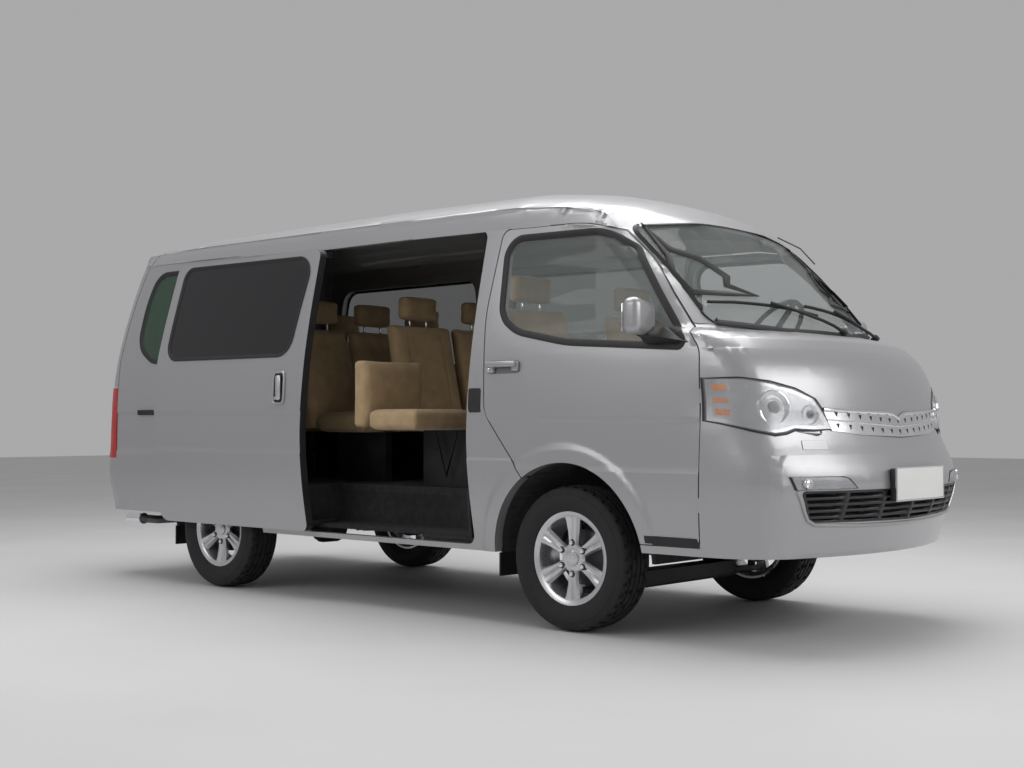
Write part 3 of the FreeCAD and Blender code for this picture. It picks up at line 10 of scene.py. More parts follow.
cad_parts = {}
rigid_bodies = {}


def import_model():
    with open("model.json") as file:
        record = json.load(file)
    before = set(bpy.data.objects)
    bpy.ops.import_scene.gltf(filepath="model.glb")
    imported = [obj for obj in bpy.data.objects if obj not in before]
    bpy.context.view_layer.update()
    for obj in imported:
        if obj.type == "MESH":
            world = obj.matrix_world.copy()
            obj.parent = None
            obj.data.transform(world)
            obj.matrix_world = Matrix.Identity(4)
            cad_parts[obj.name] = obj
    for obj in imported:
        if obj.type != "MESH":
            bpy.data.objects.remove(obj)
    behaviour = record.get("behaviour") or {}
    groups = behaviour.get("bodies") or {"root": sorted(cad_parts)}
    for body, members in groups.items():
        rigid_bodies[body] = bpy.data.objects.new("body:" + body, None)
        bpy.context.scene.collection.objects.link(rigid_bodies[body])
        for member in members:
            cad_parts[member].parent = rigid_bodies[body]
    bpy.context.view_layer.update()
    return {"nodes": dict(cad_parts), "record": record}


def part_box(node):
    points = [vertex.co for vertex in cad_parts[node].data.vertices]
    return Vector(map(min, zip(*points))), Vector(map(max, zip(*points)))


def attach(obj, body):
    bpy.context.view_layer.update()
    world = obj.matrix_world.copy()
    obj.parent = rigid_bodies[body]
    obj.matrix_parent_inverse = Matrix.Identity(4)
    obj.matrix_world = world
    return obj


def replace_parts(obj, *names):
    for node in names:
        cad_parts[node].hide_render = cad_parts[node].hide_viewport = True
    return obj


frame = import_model()
BODY_OF = {node: body for body, nodes in frame["record"]["behaviour"]["bodies"].items()
           for node in nodes}
UP = Vector((0, 0, 1))
# Metres: the axles' places, and the distance under which two points are one.
AXLES = (-1.255, 1.335)
HUB_Z = 0.325
HALF_TRACK = 0.735
MERGE = 0.00001


# Finishes

def new_finish(name, colour, rough, metal=0.0):
    """A finish with its shader, ready for texture nodes."""
    finish = bpy.data.materials.new(name)
    finish.use_nodes = True
    shader = finish.node_tree.nodes["Principled BSDF"]
    shader.inputs["Base Color"].default_value = (*colour, 1)
    shader.inputs["Roughness"].default_value = rough
    shader.inputs["Metallic"].default_value = metal
    return finish, shader


def add_node(finish, kind, **settings):
    made = finish.node_tree.nodes.new(kind)
    for key, value in settings.items():
        if key in made.inputs:
            made.inputs[key].default_value = value
        else:
            setattr(made, key, value)
    return made


def join(finish, start, end):
    finish.node_tree.links.new(start, end)


def noise_on(finish, scale, detail):
    """Noise in the object's own coordinates."""
    place = add_node(finish, "ShaderNodeTexCoord")
    noise = add_node(finish, "ShaderNodeTexNoise", Scale=scale, Detail=detail)
    join(finish, place.outputs["Object"], noise.inputs["Vector"])
    return noise


def vary_colour(finish, shader, noise, dark, light):
    ramp = add_node(finish, "ShaderNodeValToRGB")
    for knot, place, colour in zip(ramp.color_ramp.elements, (0.3, 0.7), (dark, light)):
        knot.position = place
        knot.color = (*colour, 1)
    join(finish, noise.outputs["Fac"], ramp.inputs["Fac"])
    join(finish, ramp.outputs["Color"], shader.inputs["Base Color"])


def shades(colour, low, high):
    """A colour made darker and lighter."""
    return tuple(c * low for c in colour), tuple(min(1, c * high) for c in colour)


def vary_rough(finish, shader, noise, low, high):
    spread = add_node(finish, "ShaderNodeMapRange", **{"To Min": low, "To Max": high})
    join(finish, noise.outputs["Fac"], spread.inputs["Value"])
    join(finish, spread.outputs["Result"], shader.inputs["Roughness"])


def raise_grain(finish, shader, source, strength, deep):
    bump = add_node(finish, "ShaderNodeBump", Strength=strength, Distance=deep)
    join(finish, source, bump.inputs["Height"])
    join(finish, bump.outputs["Normal"], shader.inputs["Normal"])


def grained(name, colour, rough, metal=0.0, spread=0.12, scale=60.0, grain=0.15,
            deep=0.0006):
    """Plastic, rubber or metal whose colour, gloss and surface vary finely."""
    finish, shader = new_finish(name, colour, rough, metal)
    broad = noise_on(finish, scale * 0.12, 4.0)
    fine = noise_on(finish, scale * 6, 2.0)
    vary_colour(finish, shader, broad, *shades(colour, 1 - spread, 1 + spread))
    vary_rough(finish, shader, broad, max(0.02, rough - 0.08), min(1.0, rough + 0.08))
    if grain:
        raise_grain(finish, shader, fine.outputs["Fac"], grain, deep)
    return finish


def paint_finish(name, colour, rough=0.34, metal=0.55):
    """Metallic paint: fine flakes under clear lacquer."""
    finish, shader = new_finish(name, colour, rough, metal)
    flakes = noise_on(finish, 1400.0, 2.0)
    broad = noise_on(finish, 2.2, 2.0)
    vary_colour(finish, shader, flakes, *shades(colour, 0.94, 1.05))
    vary_rough(finish, shader, broad, rough - 0.03, rough + 0.04)
    shader.inputs["Coat Weight"].default_value = 0.55
    shader.inputs["Coat Roughness"].default_value = 0.12
    return finish


def glass_finish(name, colour, alpha, rough=0.03):
    """Thin see-through glass, its gloss slightly uneven."""
    finish, shader = new_finish(name, colour, rough)
    dust = noise_on(finish, 9.0, 5.0)
    vary_rough(finish, shader, dust, rough, rough + 0.02)
    shader.inputs["Alpha"].default_value = alpha
    shader.inputs["Specular IOR Level"].default_value = 0.6
    return finish


def cloth_finish(name, colour):
    """Woven seat cloth: crossing threads, slightly uneven dye and a soft sheen."""
    finish, shader = new_finish(name, colour, 0.85)
    place = add_node(finish, "ShaderNodeTexCoord")
    both = add_node(finish, "ShaderNodeMath", operation="ADD")
    for end, direction in zip(both.inputs, ("X", "Z")):
        wave = add_node(finish, "ShaderNodeTexWave", Scale=150.0, Distortion=1.5,
                        bands_direction=direction)
        join(finish, place.outputs["Object"], wave.inputs["Vector"])
        join(finish, wave.outputs["Fac"], end)
    broad = noise_on(finish, 14.0, 4.0)
    vary_colour(finish, shader, broad, *shades(colour, 0.86, 1.1))
    raise_grain(finish, shader, both.outputs["Value"], 0.25, 0.0008)
    shader.inputs["Sheen Weight"].default_value = 0.25
    shader.inputs["Sheen Roughness"].default_value = 0.5
    return finish


PAINT = paint_finish("silver_paint", (0.4, 0.4, 0.41))
CLOTH = cloth_finish("tan_cloth", (0.43, 0.3, 0.16))
BLACK = grained("black_rubber", (0.012, 0.012, 0.013), 0.55, spread=0.2, scale=90)
MOULD = grained("black_plastic", (0.016, 0.016, 0.017), 0.42, spread=0.2, scale=120)
GREY_MOULD = grained("grey_plastic", (0.12, 0.12, 0.12), 0.6, spread=0.12, scale=120)
CARPET = grained("dark_carpet", (0.022, 0.022, 0.023), 0.95, spread=0.4, scale=220, grain=0.8,
                 deep=0.002)
STEEL = grained("dark_steel", (0.045, 0.045, 0.047), 0.55, 0.7, spread=0.3, scale=40)
CAST = grained("cast_metal", (0.16, 0.16, 0.165), 0.6, 0.8, spread=0.25, scale=90, grain=0.4)
ALLOY = grained("alloy", (0.62, 0.62, 0.64), 0.28, 0.85, spread=0.05, scale=60, grain=0.05)
CHROME = grained("chrome", (0.86, 0.86, 0.88), 0.08, 1.0, spread=0.03, scale=30, grain=0.02)
TYRE = grained("tyre_rubber", (0.014, 0.014, 0.015), 0.78, spread=0.3, scale=150, grain=0.4,
               deep=0.0008)
CLEAR = glass_finish("clear_glass", (0.3, 0.34, 0.33), 0.2, 0.0)
GREEN_GLASS = glass_finish("green_glass", (0.05, 0.1, 0.065), 0.55)
DARK_GLASS = glass_finish("dark_glass", (0.01, 0.01, 0.012), 0.955)
LENS = glass_finish("lamp_lens", (0.55, 0.56, 0.57), 0.22, 0.02)
AMBER = grained("amber_lens", (0.75, 0.22, 0.02), 0.25, spread=0.1, scale=200, grain=0.2)
RED = grained("red_lens", (0.42, 0.016, 0.014), 0.2, spread=0.15, scale=200, grain=0.2)
PLATE = grained("plate_white", (0.72, 0.72, 0.7), 0.45, spread=0.03, scale=30, grain=0.05)
LAMP_SILVER = grained("lamp_silver", (0.5, 0.5, 0.52), 0.22, 0.85, spread=0.15, scale=70,
                      grain=0.25, deep=0.001)
GRILLE_CHROME = grained("grille_chrome", (0.72, 0.72, 0.74), 0.22, 0.9, spread=0.08, scale=60,
                        grain=0.1)
# Body paint made dark: painted shade for the front door handles' flat recesses.
RECESS_SHADE_PAINT = paint_finish("handle_cup_paint", (0.16, 0.16, 0.165))
MIRROR = grained("mirror_silver", (0.8, 0.8, 0.82), 0.03, 1.0, spread=0.01, scale=10, grain=0.0)


# Working tools

def placed(name, data):
    """A new object in the scene."""
    piece = bpy.data.objects.new(name, data)
    bpy.context.scene.collection.objects.link(piece)
    return piece


def fresh(name):
    """The piece just made, named and with its place applied."""
    piece = bpy.context.object
    piece.name = name
    bpy.ops.object.transform_apply(location=True, rotation=True, scale=True)
    return piece


def leave_all():
    if bpy.context.object is not None and bpy.context.object.mode != "OBJECT":
        bpy.ops.object.mode_set(mode="OBJECT")
    bpy.ops.object.select_all(action="DESELECT")


def pick(piece):
    leave_all()
    piece.select_set(True)
    bpy.context.view_layer.objects.active = piece


def edit(piece, mode="FACE"):
    pick(piece)
    bpy.ops.object.mode_set(mode="EDIT")
    bpy.ops.mesh.select_mode(type=mode)


def edit_all(piece, mode="FACE"):
    edit(piece, mode)
    bpy.ops.mesh.select_all(action="SELECT")


def done(piece, finish, body="root", smooth=35):
    """Smooth shading, finish and the body it rides on."""
    pick(piece)
    bpy.ops.object.transform_apply(location=True, rotation=True, scale=True)
    bpy.ops.object.shade_smooth_by_angle(angle=math.radians(smooth))
    piece.data.materials.clear()
    piece.data.materials.append(finish)
    leave_all()
    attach(piece, body)
    return piece


def modified(piece, kind, **settings):
    """Sets a modifier on a piece and applies it."""
    pick(piece)
    added = piece.modifiers.new(kind, kind)
    for key, value in settings.items():
        setattr(added, key, value)
    bpy.ops.object.modifier_apply(modifier=kind)
    leave_all()


def outward(piece):
    edit_all(piece)
    bpy.ops.mesh.normals_make_consistent(inside=False)
    leave_all()


def turned(piece):
    edit_all(piece)
    bpy.ops.mesh.flip_normals()
    leave_all()


def faces_where(piece, test):
    """Selects the faces that pass a test on their middle and normal, for editing."""
    pick(piece)
    for part in (*piece.data.vertices, *piece.data.edges):
        part.select = False
    for face in piece.data.polygons:
        face.select = bool(test(face.center, face.normal))
    edit(piece)


def block(name, low, high, bevel=0.004, turns=2):
    """A box between two corners with rounded edges."""
    leave_all()
    low, high = Vector(low), Vector(high)
    bpy.ops.mesh.primitive_cube_add(size=1, location=(low + high) / 2)
    bpy.context.object.scale = high - low
    piece = fresh(name)
    edit_all(piece, "EDGE")
    bpy.ops.mesh.bevel(offset=bevel, segments=turns, affect="EDGES")
    leave_all()
    return piece


def rod(name, start, end, radius, sides, bevel):
    """A round bar between two points, its end rims bevelled by a share of its radius."""
    leave_all()
    start, end = Vector(start), Vector(end)
    bpy.ops.mesh.primitive_cylinder_add(vertices=sides, radius=radius, depth=(end - start).length,
                                        location=(start + end) / 2,
                                        rotation=(end - start).to_track_quat("Z", "Y").to_euler())
    piece = fresh(name)
    along = (end - start).normalized()
    faces_where(piece, lambda middle, normal: abs(normal.dot(along)) > 0.9)
    bpy.ops.mesh.bevel(offset=radius * bevel, segments=2, affect="EDGES")
    leave_all()
    return piece


def pipe(name, points, radius, sides=3, closed=False):
    """A round bar that follows points."""
    line = bpy.data.curves.new(name, "CURVE")
    line.dimensions = "3D"
    line.bevel_depth = radius
    line.bevel_resolution = sides
    line.use_fill_caps = True
    spline = line.splines.new("POLY")
    spline.points.add(len(points) - 1)
    for knot, point in zip(spline.points, points):
        knot.co = (*point, 1)
    spline.use_cyclic_u = closed
    pick(placed(name, line))
    bpy.ops.object.convert(target="MESH")
    return fresh(name)


def spun(name, profile, centre, axis, steps):
    """A profile of (along, radius) points turned round an axis through centre."""
    leave_all()
    axis = Vector(axis).normalized()
    side = axis.orthogonal().normalized()
    centre = Vector(centre)
    spots = [centre + axis * a + side * r for a, r in profile]
    bpy.ops.mesh.primitive_plane_add(size=0.01, location=spots[0])
    piece = fresh(name)
    edit_all(piece, "VERT")
    bpy.ops.mesh.merge(type="CENTER")
    for here, there in zip(spots, spots[1:]):
        bpy.ops.mesh.extrude_region_move(TRANSFORM_OT_translate={"value": there - here})
    bpy.ops.mesh.select_all(action="SELECT")
    bpy.ops.mesh.spin(steps=steps, angle=math.tau, center=centre, axis=axis)
    bpy.ops.mesh.select_all(action="SELECT")
    bpy.ops.mesh.remove_doubles(threshold=0.00002)
    bpy.ops.mesh.normals_make_consistent(inside=False)
    leave_all()
    return piece


def meshed(name, points, faces):
    """A piece from worked-out points, for shapes that follow the bodywork."""
    mesh = bpy.data.meshes.new(name)
    mesh.from_pydata([tuple(p) for p in points], [], faces)
    mesh.update()
    return placed(name, mesh)


def loft(name, rows, ring=False):
    """Rows of points skinned into a ring, or into a bar with capped ends."""
    width, count = len(rows[0]), len(rows)
    faces = [] if ring else [tuple(range(width)),
                             tuple((count - 1) * width + k for k in range(width))]
    for i in range(count if ring else count - 1):
        for k in range(width):
            a, b, n = i * width, (i + 1) % count * width, (k + 1) % width
            faces.append((a + k, b + k, b + n, a + n))
    piece = meshed(name, [p for row in rows for p in row], faces)
    outward(piece)
    return piece


def copy_of(node, name):
    """A merged copy of a CAD node's mesh."""
    piece = placed(name, frame["nodes"][node].data.copy())
    edit_all(piece, "VERT")
    bpy.ops.mesh.remove_doubles(threshold=MERGE)
    leave_all()
    return piece


def both_sides(piece, name, finish, body="root", smooth=35):
    """Ends a right-hand piece, and its mirror image on the left."""
    done(piece, finish, body, smooth)
    piece.name = name + "_right"
    twin = placed(name + "_left", piece.data.copy())
    for vertex in twin.data.vertices:
        vertex.co.x = -vertex.co.x
    turned(twin)
    done(twin, finish, body.replace("right", "left"), smooth)


def between(value, low, high):
    return max(low, min(high, value))


def step(value, low, high):
    """Rises smoothly from 0 at low to 1 at high."""
    t = between((value - low) / (high - low), 0.0, 1.0)
    return t * t * (3 - 2 * t)


def merged(node):
    """A CAD node's mesh for bmesh, its double points merged."""
    work = bmesh.new()
    work.from_mesh(frame["nodes"][node].data)
    bmesh.ops.remove_doubles(work, verts=work.verts, dist=MERGE)
    return work


# The evened-out skin: the solids' outer faces as a field of weighted points

PAINTED = ("body_side_left", "body_side_right", "nose_panel", "front_bumper", "roof",
           "rear_bumper", "tailgate", "front_door_left", "front_door_right", "windscreen",
           "side_glass", "door_glass_left", "door_glass_right", "tailgate_glass")
FILLERS = ("front_lamps", "chrome_grille", "tail_lamps")
# Outer faces look away from this stretch of the cabin's middle by at least OUTER.
SPINE_Y, SPINE_Z = (-1.7, 2.0), (0.95, 1.5)
OUTER = 0.45
# The field's cells: their size, the steps of direction, and what keeps their numbers positive.
GAP, BINS, SHIFT = 0.03, 5, 99
# How far a point looks for others, and how much alike their normals must be, in two rounds.
REACH = 0.115
ALIKE = (0.5, 0.72)


def facing_out(point, normal):
    """How far a normal points away from the cabin's middle: 1 straight out, -1 in."""
    middle = Vector((0, between(point.y, *SPINE_Y), between(point.z, *SPINE_Z)))
    return normal.dot((point - middle).normalized())


def scattered(nodes):
    """Points spread evenly over the outer skin of some nodes, each with its normal and share."""
    cells = {}
    for node in nodes:
        mesh = frame["nodes"][node].data
        mesh.calc_loop_triangles()
        for triangle in mesh.loop_triangles:
            corners = [mesh.vertices[i].co for i in triangle.vertices]
            facing = triangle.normal
            if facing_out(sum(corners, Vector()) / 3, facing) < OUTER:
                continue
            turn = max(range(3), key=lambda k: (corners[(k + 1) % 3] - corners[k]).length)
            a, b, apex = (corners[(turn + k) % 3] for k in range(3))
            long = (b - a).length
            along = max(1, math.ceil(long / GAP))
            across = max(1, math.ceil(2 * triangle.area / max(long, 1e-6) / GAP))
            share = triangle.area / (along * across)
            bins = tuple(round(value * BINS) for value in facing)
            for i in range(across):
                deep = math.sqrt((i + 0.5) / across)
                for k in range(along):
                    spot = apex.lerp(a.lerp(b, (k + 0.5) / along), deep)
                    key = (int(spot.x / GAP + SHIFT), int(spot.y / GAP + SHIFT),
                           int(spot.z / GAP), bins)
                    cell = cells.setdefault(key, [Vector(), Vector(), 0.0])
                    cell[0] += spot * share
                    cell[1] += facing * share
                    cell[2] += share
    normals = []
    tree = KDTree(len(cells))
    for index, (spot, facing, share) in enumerate(cells.values()):
        tree.insert(spot / share, index)
        normals.append((facing.normalized(), share))
    tree.balance()
    return tree, normals


def evened(point, normal, field):
    """A point's way to the evened-out skin: a plane through the weighted near points."""
    tree, normals = field
    near = [(spot, normals[index][0], normals[index][1] * (1 - (gap / REACH) ** 2) ** 2)
            for spot, index, gap in tree.find_range(point, REACH)]
    for least in ALIKE:
        mean, centre, total = Vector(), Vector(), 0.0
        for spot, facing, weight in near:
            alike = facing.dot(normal)
            if alike > least:
                weight = weight * ((alike - least) / (1 - least)) ** 2
                mean += facing * weight
                centre += spot * weight
                total += weight
        if total < 1e-9:
            return Vector()
        normal = mean.normalized()
        centre /= total
    return normal * (centre - point).dot(normal)


FIELD = scattered([node for node in PAINTED if node != "roof"] + list(FILLERS))
ROOF_FIELD = scattered(("roof", "windscreen"))
SLIDER_FIELD = scattered(("sliding_door", "sliding_door_glass"))

# Where the grille and the lamps lie, and the bow from which the grille's search starts.
GRILLE_X, GRILLE_Z, GRILLE_Y, GRILLE_BOW = 0.52, (0.86, 1.0), -2.434, 0.34
LAMP_X, LAMP_Y, LAMP_Z = 0.42, -1.95, (0.86, 1.13)
RAY_START = 0.6


def on_skin(point, away):
    """Where the bodywork lies behind a point, seen along a direction from outside.

    Over the grille's holes the field stands in for the skin, and at the lamps it evens it."""
    away = Vector(away).normalized()
    point = Vector(point)
    if abs(point.x) < GRILLE_X and GRILLE_Z[0] < point.z < GRILLE_Z[1] and abs(away.x) < 0.1:
        spot = Vector((point.x, GRILLE_Y + GRILLE_BOW * point.x * point.x, point.z))
        for _ in range(2):
            spot.y += evened(spot, Vector((0.6 * point.x, -1, 0.15)).normalized(), FIELD).y
        return spot
    hit, normal, _, _ = SKIN.ray_cast(point + away * RAY_START, -away)
    if hit is None:
        return point
    if abs(hit.x) > LAMP_X and hit.y < LAMP_Y and LAMP_Z[0] < hit.z < LAMP_Z[1]:
        hit += evened(hit, (normal + away).normalized(), FIELD)
    return hit


def upright(x, y0, z0, y1, z1):
    """The corners of a rectangle across x, first along y."""
    return [(x, y0, z0), (x, y1, z0), (x, y1, z1), (x, y0, z1)]


def rounded(points, share, steps):
    """A closed outline with its corners cut round, each by a share of its sides."""
    made = []
    count = len(points)
    for i in range(count):
        before, here, after = (Vector(points[(i + k) % count]) for k in (-1, 0, 1))
        start, end = here.lerp(before, share), here.lerp(after, share)
        for k in range(steps + 1):
            t = k / steps
            made.append(start.lerp(here, t).lerp(here.lerp(end, t), t))
    return made


def laid(name, outline, away, rise, thick, cell=0.03, dome=0.0, hem=0.05):
    """A plate cut to an outline and pressed on the bodywork.

    It reaches from thick below the skin to rise above it, and dome more inside its hem."""
    away = Vector(away).normalized()
    spots = [Vector(p) for p in outline]
    middle = sum(spots, Vector()) / len(spots)
    spots = [p - away * (p - middle).dot(away) for p in spots]
    piece = meshed(name, spots, [tuple(range(len(spots)))])
    side = away.cross(UP).normalized() if abs(away.z) < 0.9 else Vector((1, 0, 0))
    for direction in (side, side.cross(away)):
        reach = [(p - middle).dot(direction) for p in spots]
        place = min(reach) + cell
        edit_all(piece)
        while place < max(reach) - cell * 0.3:
            bpy.ops.mesh.select_all(action="SELECT")
            bpy.ops.mesh.bisect(plane_co=middle + direction * place, plane_no=direction)
            place += cell
        leave_all()

    def inset(spot):
        gaps = []
        for a, b in zip(spots, spots[1:] + spots[:1]):
            share = (spot - a).dot(b - a) / max(1e-9, (b - a).length_squared)
            gaps.append((spot - a.lerp(b, between(share, 0.0, 1.0))).length)
        return min(gaps)

    for vertex in piece.data.vertices:
        lift = dome * step(inset(vertex.co), 0, hem) if dome else 0
        vertex.co = on_skin(vertex.co, away) + away * (rise + lift)
    if piece.data.polygons[0].normal.dot(away) < 0:
        turned(piece)
    modified(piece, "SOLIDIFY", thickness=rise + thick, offset=-1)
    return piece


# Painted panels

SIDE_BANDS = {"sliding_door": (0.765, 0.781, 0.984, 0.997), "rear": (0.752, 0.768, 0.984, 0.997),
              "front": (0.718, 0.735, 0.929, 0.945)}
# Each band is sunk by CREASE between its four heights. The flares stand out round the arches.
CREASE, SIDEWAYS = 0.0035, 0.35
CELL, FOLLOW = 0.04, 0.09
LOW_FADE, EDGE_FADE = (0.36, 0.43), (0.93, 0.975)
FLARE_OUT, FLARE_CELL = 0.009, 0.015
FLARE_END, FLARE_FADE = 0.53, (0.487, 0.517)
FLARE_NEAR, FLARE_TOP, FLARE_SIDE, FLARE_FOOT = 0.56, 0.88, 0.75, 0.375


def panel(node, band=(), flares=()):
    """A bodywork panel with smoothed outer skin, pressed creases and arch flares.

    The skin is cut into cells, its outer points go to the evened-out skin and the inner
    points near them follow."""
    piece = placed(node + "_panel", frame["nodes"][node].data.copy())
    work = merged(node)
    bmesh.ops.dissolve_limit(work, angle_limit=math.radians(0.5), verts=work.verts[:],
                             edges=work.edges[:])
    low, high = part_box(node)

    def cut(axis, place, test=None):
        normal = Vector([1.0 if k == axis else 0.0 for k in range(3)])
        faces = [f for f in work.faces if test is None or test(f.calc_center_median())]
        edges = list(dict.fromkeys(e for f in faces for e in f.edges))
        verts = list(dict.fromkeys(v for f in faces for v in f.verts))
        bmesh.ops.bisect_plane(work, geom=verts + edges + faces, dist=MERGE,
                               plane_co=normal * place, plane_no=normal)

    for axis in range(3):
        place = math.ceil(low[axis] / CELL + 0.2) * CELL
        while place < high[axis] - 0.2 * CELL:
            cut(axis, place)
            place += CELL
    for level in band:
        cut(2, level)
    for axle in flares:
        def near(spot):
            return (abs(spot.y - axle) < FLARE_NEAR and spot.z < FLARE_TOP and
                    abs(spot.x) > FLARE_SIDE)

        for k in range(-36, 37):
            cut(1, axle + FLARE_CELL * k + 0.003, near)
        for k in range(34):
            cut(2, FLARE_FOOT + FLARE_CELL * k, near)
    work.normal_update()
    outer = {f: facing_out(f.calc_center_median(), f.normal) > OUTER for f in work.faces}
    field = {"sliding_door": SLIDER_FIELD, "roof": ROOF_FIELD}.get(node, FIELD)
    moves = []
    for vertex in work.verts:
        around = [f for f in vertex.link_faces if outer[f]]
        if around:
            normal = sum((f.normal for f in around), Vector()).normalized()
            sharp = min(f.normal.dot(normal) for f in around)
            fade = step(vertex.co.z, *LOW_FADE) * step(sharp, *EDGE_FADE)
            moves.append((vertex, evened(vertex.co, normal, field) * fade))
    moved = KDTree(len(moves))
    for index, (vertex, _) in enumerate(moves):
        moved.insert(vertex.co, index)
    moved.balance()
    shifted = {vertex for vertex, _ in moves}
    for vertex in work.verts:
        if vertex not in shifted and moves:
            _, index, gap = moved.find(vertex.co)
            if gap < FOLLOW:
                moves.append((vertex, moves[index][1]))
    for vertex, move in moves:
        vertex.co += move
    for vertex in work.verts:
        if not any(outer[f] for f in vertex.link_faces) or abs(vertex.normal.x) < SIDEWAYS:
            continue
        away = 1 if vertex.co.x > 0 else -1
        if band:
            z = vertex.co.z
            vertex.co.x -= away * CREASE * step(z, *band[:2]) * (1 - step(z, *band[2:]))
        for axle in flares:
            radius = math.hypot(vertex.co.y - axle, vertex.co.z - HUB_Z)
            if radius < FLARE_END:
                vertex.co.x += away * FLARE_OUT * (1 - step(radius, *FLARE_FADE))
    work.normal_update()
    work.to_mesh(piece.data)
    work.free()
    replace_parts(done(piece, PAINT, BODY_OF[node], smooth=24), node)
    return piece


panel("body_side_right", SIDE_BANDS["rear"], AXLES[:1])
panel("body_side_left", SIDE_BANDS["front"], AXLES)
for hand in ("right", "left"):
    panel("front_door_" + hand, SIDE_BANDS["front"], AXLES[:1])
panel("front_bumper", flares=AXLES[:1])
for node in ("nose_panel", "roof", "rear_bumper", "tailgate"):
    panel(node)
# The sliding door's front edge, and what looks forward on it, is black.
SLIDER_FRONT = 0.47
sliding = panel("sliding_door", SIDE_BANDS["sliding_door"])
sliding.data.materials.append(BLACK)
for face in sliding.data.polygons:
    if face.normal.y < -0.6 or face.center.y < SLIDER_FRONT and abs(face.normal.x) < 0.5:
        face.material_index = 1


# Glass and its rubber

def finished_skin():
    """The bodywork as it is after smoothing, with lamps and grille openings closed."""
    points, faces = [], []
    for node in FILLERS:
        work = merged(node)
        work.normal_update()
        first = len(points)
        for vertex in work.verts:
            out = [f for f in vertex.link_faces
                   if facing_out(f.calc_center_median(), f.normal) > OUTER]
            place = vertex.co.copy()
            if out:
                normal = sum((f.normal for f in out), Vector()).normalized()
                place += evened(place, normal, FIELD)
            points.append(place)
        work.verts.index_update()
        faces += [tuple(first + v.index for v in f.verts) for f in work.faces]
        work.free()
    meshes = [piece.data for piece in bpy.context.scene.objects if piece.name.endswith("_panel")]
    meshes += [frame["nodes"][node].data
               for node in ("windscreen", "side_glass", "sliding_door_glass")]
    for mesh in meshes:
        first = len(points)
        points += [v.co.copy() for v in mesh.vertices]
        faces += [tuple(first + i for i in f.vertices) for f in mesh.polygons]
    return BVHTree.FromPolygons(points, faces)


SKIN = finished_skin()


RUBBER = 0.0075


def surround(node, inside, outside, name):
    """Rubber along the rim of each pane: it laps the glass and the panel round it."""
    section = ((-inside, 0.0006), (-inside * 0.7, RUBBER * 0.6), (-0.003, RUBBER),
               (outside * 0.7, RUBBER + 0.0015), (outside, RUBBER), (outside, 0.004),
               (0.0, -0.001))
    work = merged(node)
    work.normal_update()
    front = {f for f in work.faces if facing_out(f.calc_center_median(), f.normal) > OUTER}
    rim = dict.fromkeys(e for e in work.edges if sum(f in front for f in e.link_faces) == 1)
    count = 0
    while rim:
        edge = next(iter(rim))
        del rim[edge]
        first, here = edge.verts
        loop = [first, here]
        while here != first:
            after = next((e for e in here.link_edges if e in rim), None)
            if after is None:
                break
            del rim[after]
            here = after.other_vert(here)
            loop.append(here)
        if loop[-1] != first or len(loop) < 5:
            continue
        loop = loop[:-1]
        spots, ups = [], []
        for vertex in loop:
            if spots and (vertex.co - spots[-1]).length < 0.004:
                continue
            spots.append(vertex.co.copy())
            up = sum((f.normal for f in vertex.link_faces if f in front), Vector())
            ups.append(up.normalized())
        middle = sum(spots, Vector()) / len(spots)
        rows = []
        size = len(spots)
        for i, here in enumerate(spots):
            a = (here - spots[i - 1]).normalized()
            b = (spots[(i + 1) % size] - here).normalized()
            along = (a + b).normalized()
            side = along.cross(ups[i]).normalized()
            if side.dot(here - middle) < 0:
                side = -side
            wider = min(1.25, 1 / max(0.5, along.dot(a)))
            rows.append([here + side * s * wider + ups[i] * h for s, h in section])
        done(loft("%s_%d" % (name, count), rows, ring=True), BLACK, BODY_OF[node],
             smooth=40)
        count += 1
    work.free()


for node, finish, inside, outside, name in (
        ("windscreen", CLEAR, 0.022, 0.014, "windscreen_rubber"),
        ("side_glass", GREEN_GLASS, 0.016, 0.012, "side_window_rubber"),
        ("sliding_door_glass", DARK_GLASS, 0.012, 0.008, "sliding_window_rubber"),
        ("tailgate_glass", DARK_GLASS, 0.02, 0.014, "tailgate_window_rubber"),
        ("door_glass_right", CLEAR, 0.02, 0.012, "door_window_rubber_right"),
        ("door_glass_left", CLEAR, 0.02, 0.012, "door_window_rubber_left")):
    glazing = copy_of(node, node + "_pane")
    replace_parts(done(glazing, finish, BODY_OF[node], smooth=24), node)
    surround(node, inside, outside, name)


# Carried-over nodes

LAMP_SINK = 0.01

for node, finish in (("front_lamps", PAINT), ("bumper_grille", MOULD), ("dashboard", GREY_MOULD),
                     ("steering_wheel", MOULD), ("floor", CARPET), ("chassis_rails", STEEL),
                     ("tow_eyes", STEEL), ("door_runners", STEEL), ("exhaust", CAST),
                     ("fuel_tank", MOULD), ("powertrain", CAST), ("rear_axle", STEEL),
                     ("front_suspension", STEEL), ("seat_frames", STEEL), ("mud_flaps", BLACK),
                     ("knuckle_left", CAST), ("knuckle_right", CAST), ("tail_lamps", RED)):
    made = copy_of(node, node + "_made")
    if node == "front_lamps":
        for vertex in made.data.vertices:
            if facing_out(vertex.co, vertex.normal) > OUTER:
                vertex.co -= vertex.normal * LAMP_SINK
    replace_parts(done(made, finish, BODY_OF[node], smooth=32), node)


# Wheels

def together(name, pieces):
    """Several pieces joined into one."""
    leave_all()
    for piece in pieces:
        piece.select_set(True)
    bpy.context.view_layer.objects.active = pieces[0]
    bpy.ops.object.join()
    pieces[0].name = name
    leave_all()
    return pieces[0]


SPOKES = 6
TREAD_CUTS = 108
CENTRE, OUTWARDS = (0, 0, 0), (1, 0, 0)


